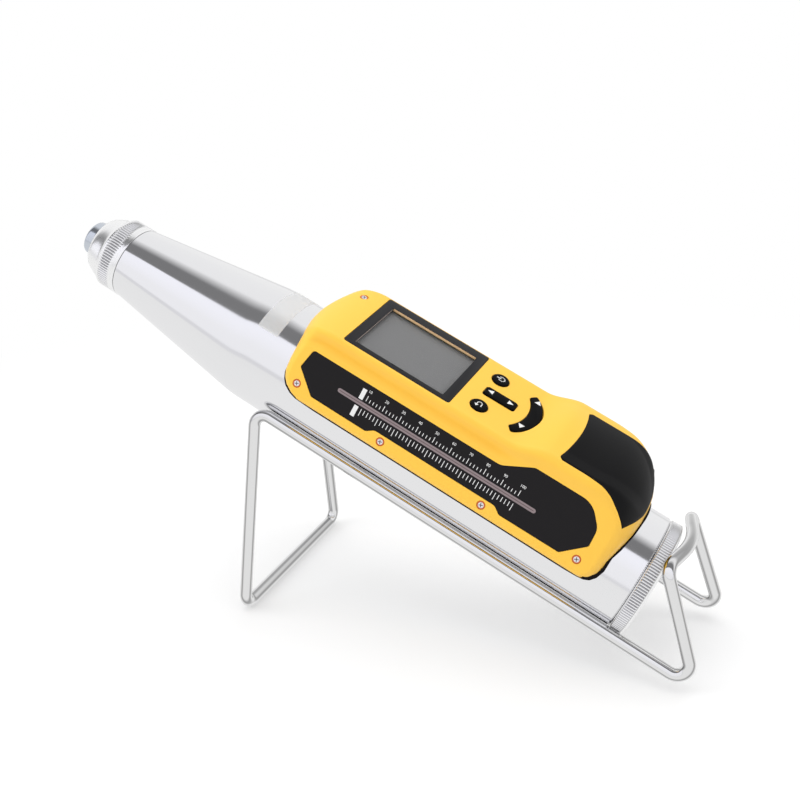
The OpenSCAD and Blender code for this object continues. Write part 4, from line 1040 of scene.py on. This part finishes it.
# The floor: matt and shaded near the hammer, fading to plain white further out. Reflections and
# rays through clear parts meet plain white.
def makeFloorMaterial():
    mat = plainMaterial("floorWhite", (0.94, 0.94, 0.94), 0.6, 0.0)
    tree = mat.node_tree
    link = tree.links.new
    shader = tree.nodes["Principled BSDF"]
    path = addNode(mat, "ShaderNodeLightPath")
    glow = addNode(mat, "ShaderNodeEmission", Color=(1, 1, 1, 1))
    mirrorGlow = addNode(mat, "ShaderNodeEmission", Color=(0.88, 0.88, 0.88, 1))
    coords = addNode(mat, "ShaderNodeTexCoord")
    length = addNode(mat, "ShaderNodeVectorMath", operation="LENGTH")
    fade = addNode(mat, "ShaderNodeMapRange", interpolation_type="SMOOTHSTEP", From_Min=studio["floorRadius"] * 0.35,
                   From_Max=studio["floorRadius"], To_Min=studio["floorLift"])
    seen = addNode(mat, "ShaderNodeMath", operation="MULTIPLY")
    unseen = addNode(mat, "ShaderNodeMath", operation="MAXIMUM")
    toWhite = addNode(mat, "ShaderNodeMixShader")
    toMirror = addNode(mat, "ShaderNodeMixShader")
    link(coords.outputs["Object"], length.inputs[0])
    link(length.outputs["Value"], fade.inputs["Value"])
    link(fade.outputs["Result"], seen.inputs[0])
    link(path.outputs["Is Camera Ray"], seen.inputs[1])
    link(path.outputs["Is Glossy Ray"], unseen.inputs[0])
    link(path.outputs["Is Transmission Ray"], unseen.inputs[1])
    link(seen.outputs[0], toWhite.inputs["Fac"])
    link(shader.outputs[0], toWhite.inputs[1])
    link(glow.outputs[0], toWhite.inputs[2])
    link(unseen.outputs[0], toMirror.inputs["Fac"])
    link(toWhite.outputs[0], toMirror.inputs[1])
    link(mirrorGlow.outputs[0], toMirror.inputs[2])
    link(toMirror.outputs[0], tree.nodes["Material Output"].inputs["Surface"])
    return mat


def makeStudio():
    n = 41
    g = np.linspace(-3, 3, n)
    x, y = np.meshgrid(g, g, indexing="ij")
    v = np.stack([x, y, np.zeros_like(x)], -1).reshape(-1, 3)
    mesh = bpy.data.meshes.new("floor")
    mesh.from_pydata(v.tolist(), [], gridFaces(n, n)[:, ::-1].tolist())
    mesh.materials.append(makeFloorMaterial())
    floor = addObject("floor", mesh)
    makeWorld()
    for name, spot, aim, size, power in studio["lamps"]:
        lamp = bpy.data.lights.new(name, "AREA")
        lamp.size, lamp.energy = size, power
        obj = addObject(name, lamp)
        obj.location = spot
        obj.rotation_euler = (Vector(aim) - Vector(spot)).to_track_quat("-Z", "Y").to_euler()
        obj.visible_glossy = False


# The world: plain light for matt surfaces, white for the camera, and for reflections a bright
# room with a grey strip overhead. The strip is told by y over z of the direction: sharp on the
# camera's side, soft behind.
def makeWorld():
    world = bpy.data.worlds.new("studio")
    bpy.context.scene.world = world
    world.use_nodes = True
    tree = world.node_tree
    link = tree.links.new
    coords = addNode(world, "ShaderNodeTexCoord")
    split = addNode(world, "ShaderNodeSeparateXYZ")
    link(coords.outputs["Generated"], split.inputs[0])
    lifted = addNode(world, "ShaderNodeMath", operation="MAXIMUM")
    lifted.inputs[1].default_value = 0.01
    link(split.outputs["Z"], lifted.inputs[0])
    slope = addNode(world, "ShaderNodeMath", operation="DIVIDE")
    link(split.outputs["Y"], slope.inputs[0])
    link(lifted.outputs[0], slope.inputs[1])
    ramp = addNode(world, "ShaderNodeValToRGB")
    shift = addNode(world, "ShaderNodeMapRange", From_Min=-2.0, From_Max=2.0)
    link(slope.outputs[0], shift.inputs["Value"])
    link(shift.outputs["Result"], ramp.inputs["Fac"])
    fillRamp(ramp, [((slopeAt + 2) / 4, color) for slopeAt, color in studio["strip"]])
    plain = tree.nodes["Background"]
    plain.inputs["Color"].default_value = (1, 1, 1, 1)
    plain.inputs["Strength"].default_value = studio["world"]
    mirrored = addNode(world, "ShaderNodeBackground")
    horizon = addNode(world, "ShaderNodeValToRGB")
    fillRamp(horizon, [(at, (level, level, level)) for at, level in studio["horizon"]])
    both = addNode(world, "ShaderNodeMix", data_type="RGBA", blend_type="MULTIPLY")
    both.inputs[0].default_value = 1.0
    link(split.outputs["Z"], horizon.inputs["Fac"])
    link(ramp.outputs["Color"], both.inputs[6])
    link(horizon.outputs["Color"], both.inputs[7])
    link(both.outputs[2], mirrored.inputs["Color"])
    seen = addNode(world, "ShaderNodeBackground", Color=(1, 1, 1, 1))
    path = addNode(world, "ShaderNodeLightPath")
    first = addNode(world, "ShaderNodeMixShader")
    second = addNode(world, "ShaderNodeMixShader")
    link(path.outputs["Is Glossy Ray"], first.inputs["Fac"])
    link(plain.outputs[0], first.inputs[1])
    link(mirrored.outputs[0], first.inputs[2])
    link(path.outputs["Is Camera Ray"], second.inputs["Fac"])
    link(first.outputs[0], second.inputs[1])
    link(seen.outputs[0], second.inputs[2])
    link(second.outputs[0], tree.nodes["World Output"].inputs["Surface"])


makeCamera()
makeStudio()
bpy.context.scene.view_settings.view_transform = "Standard"
print("studio made")
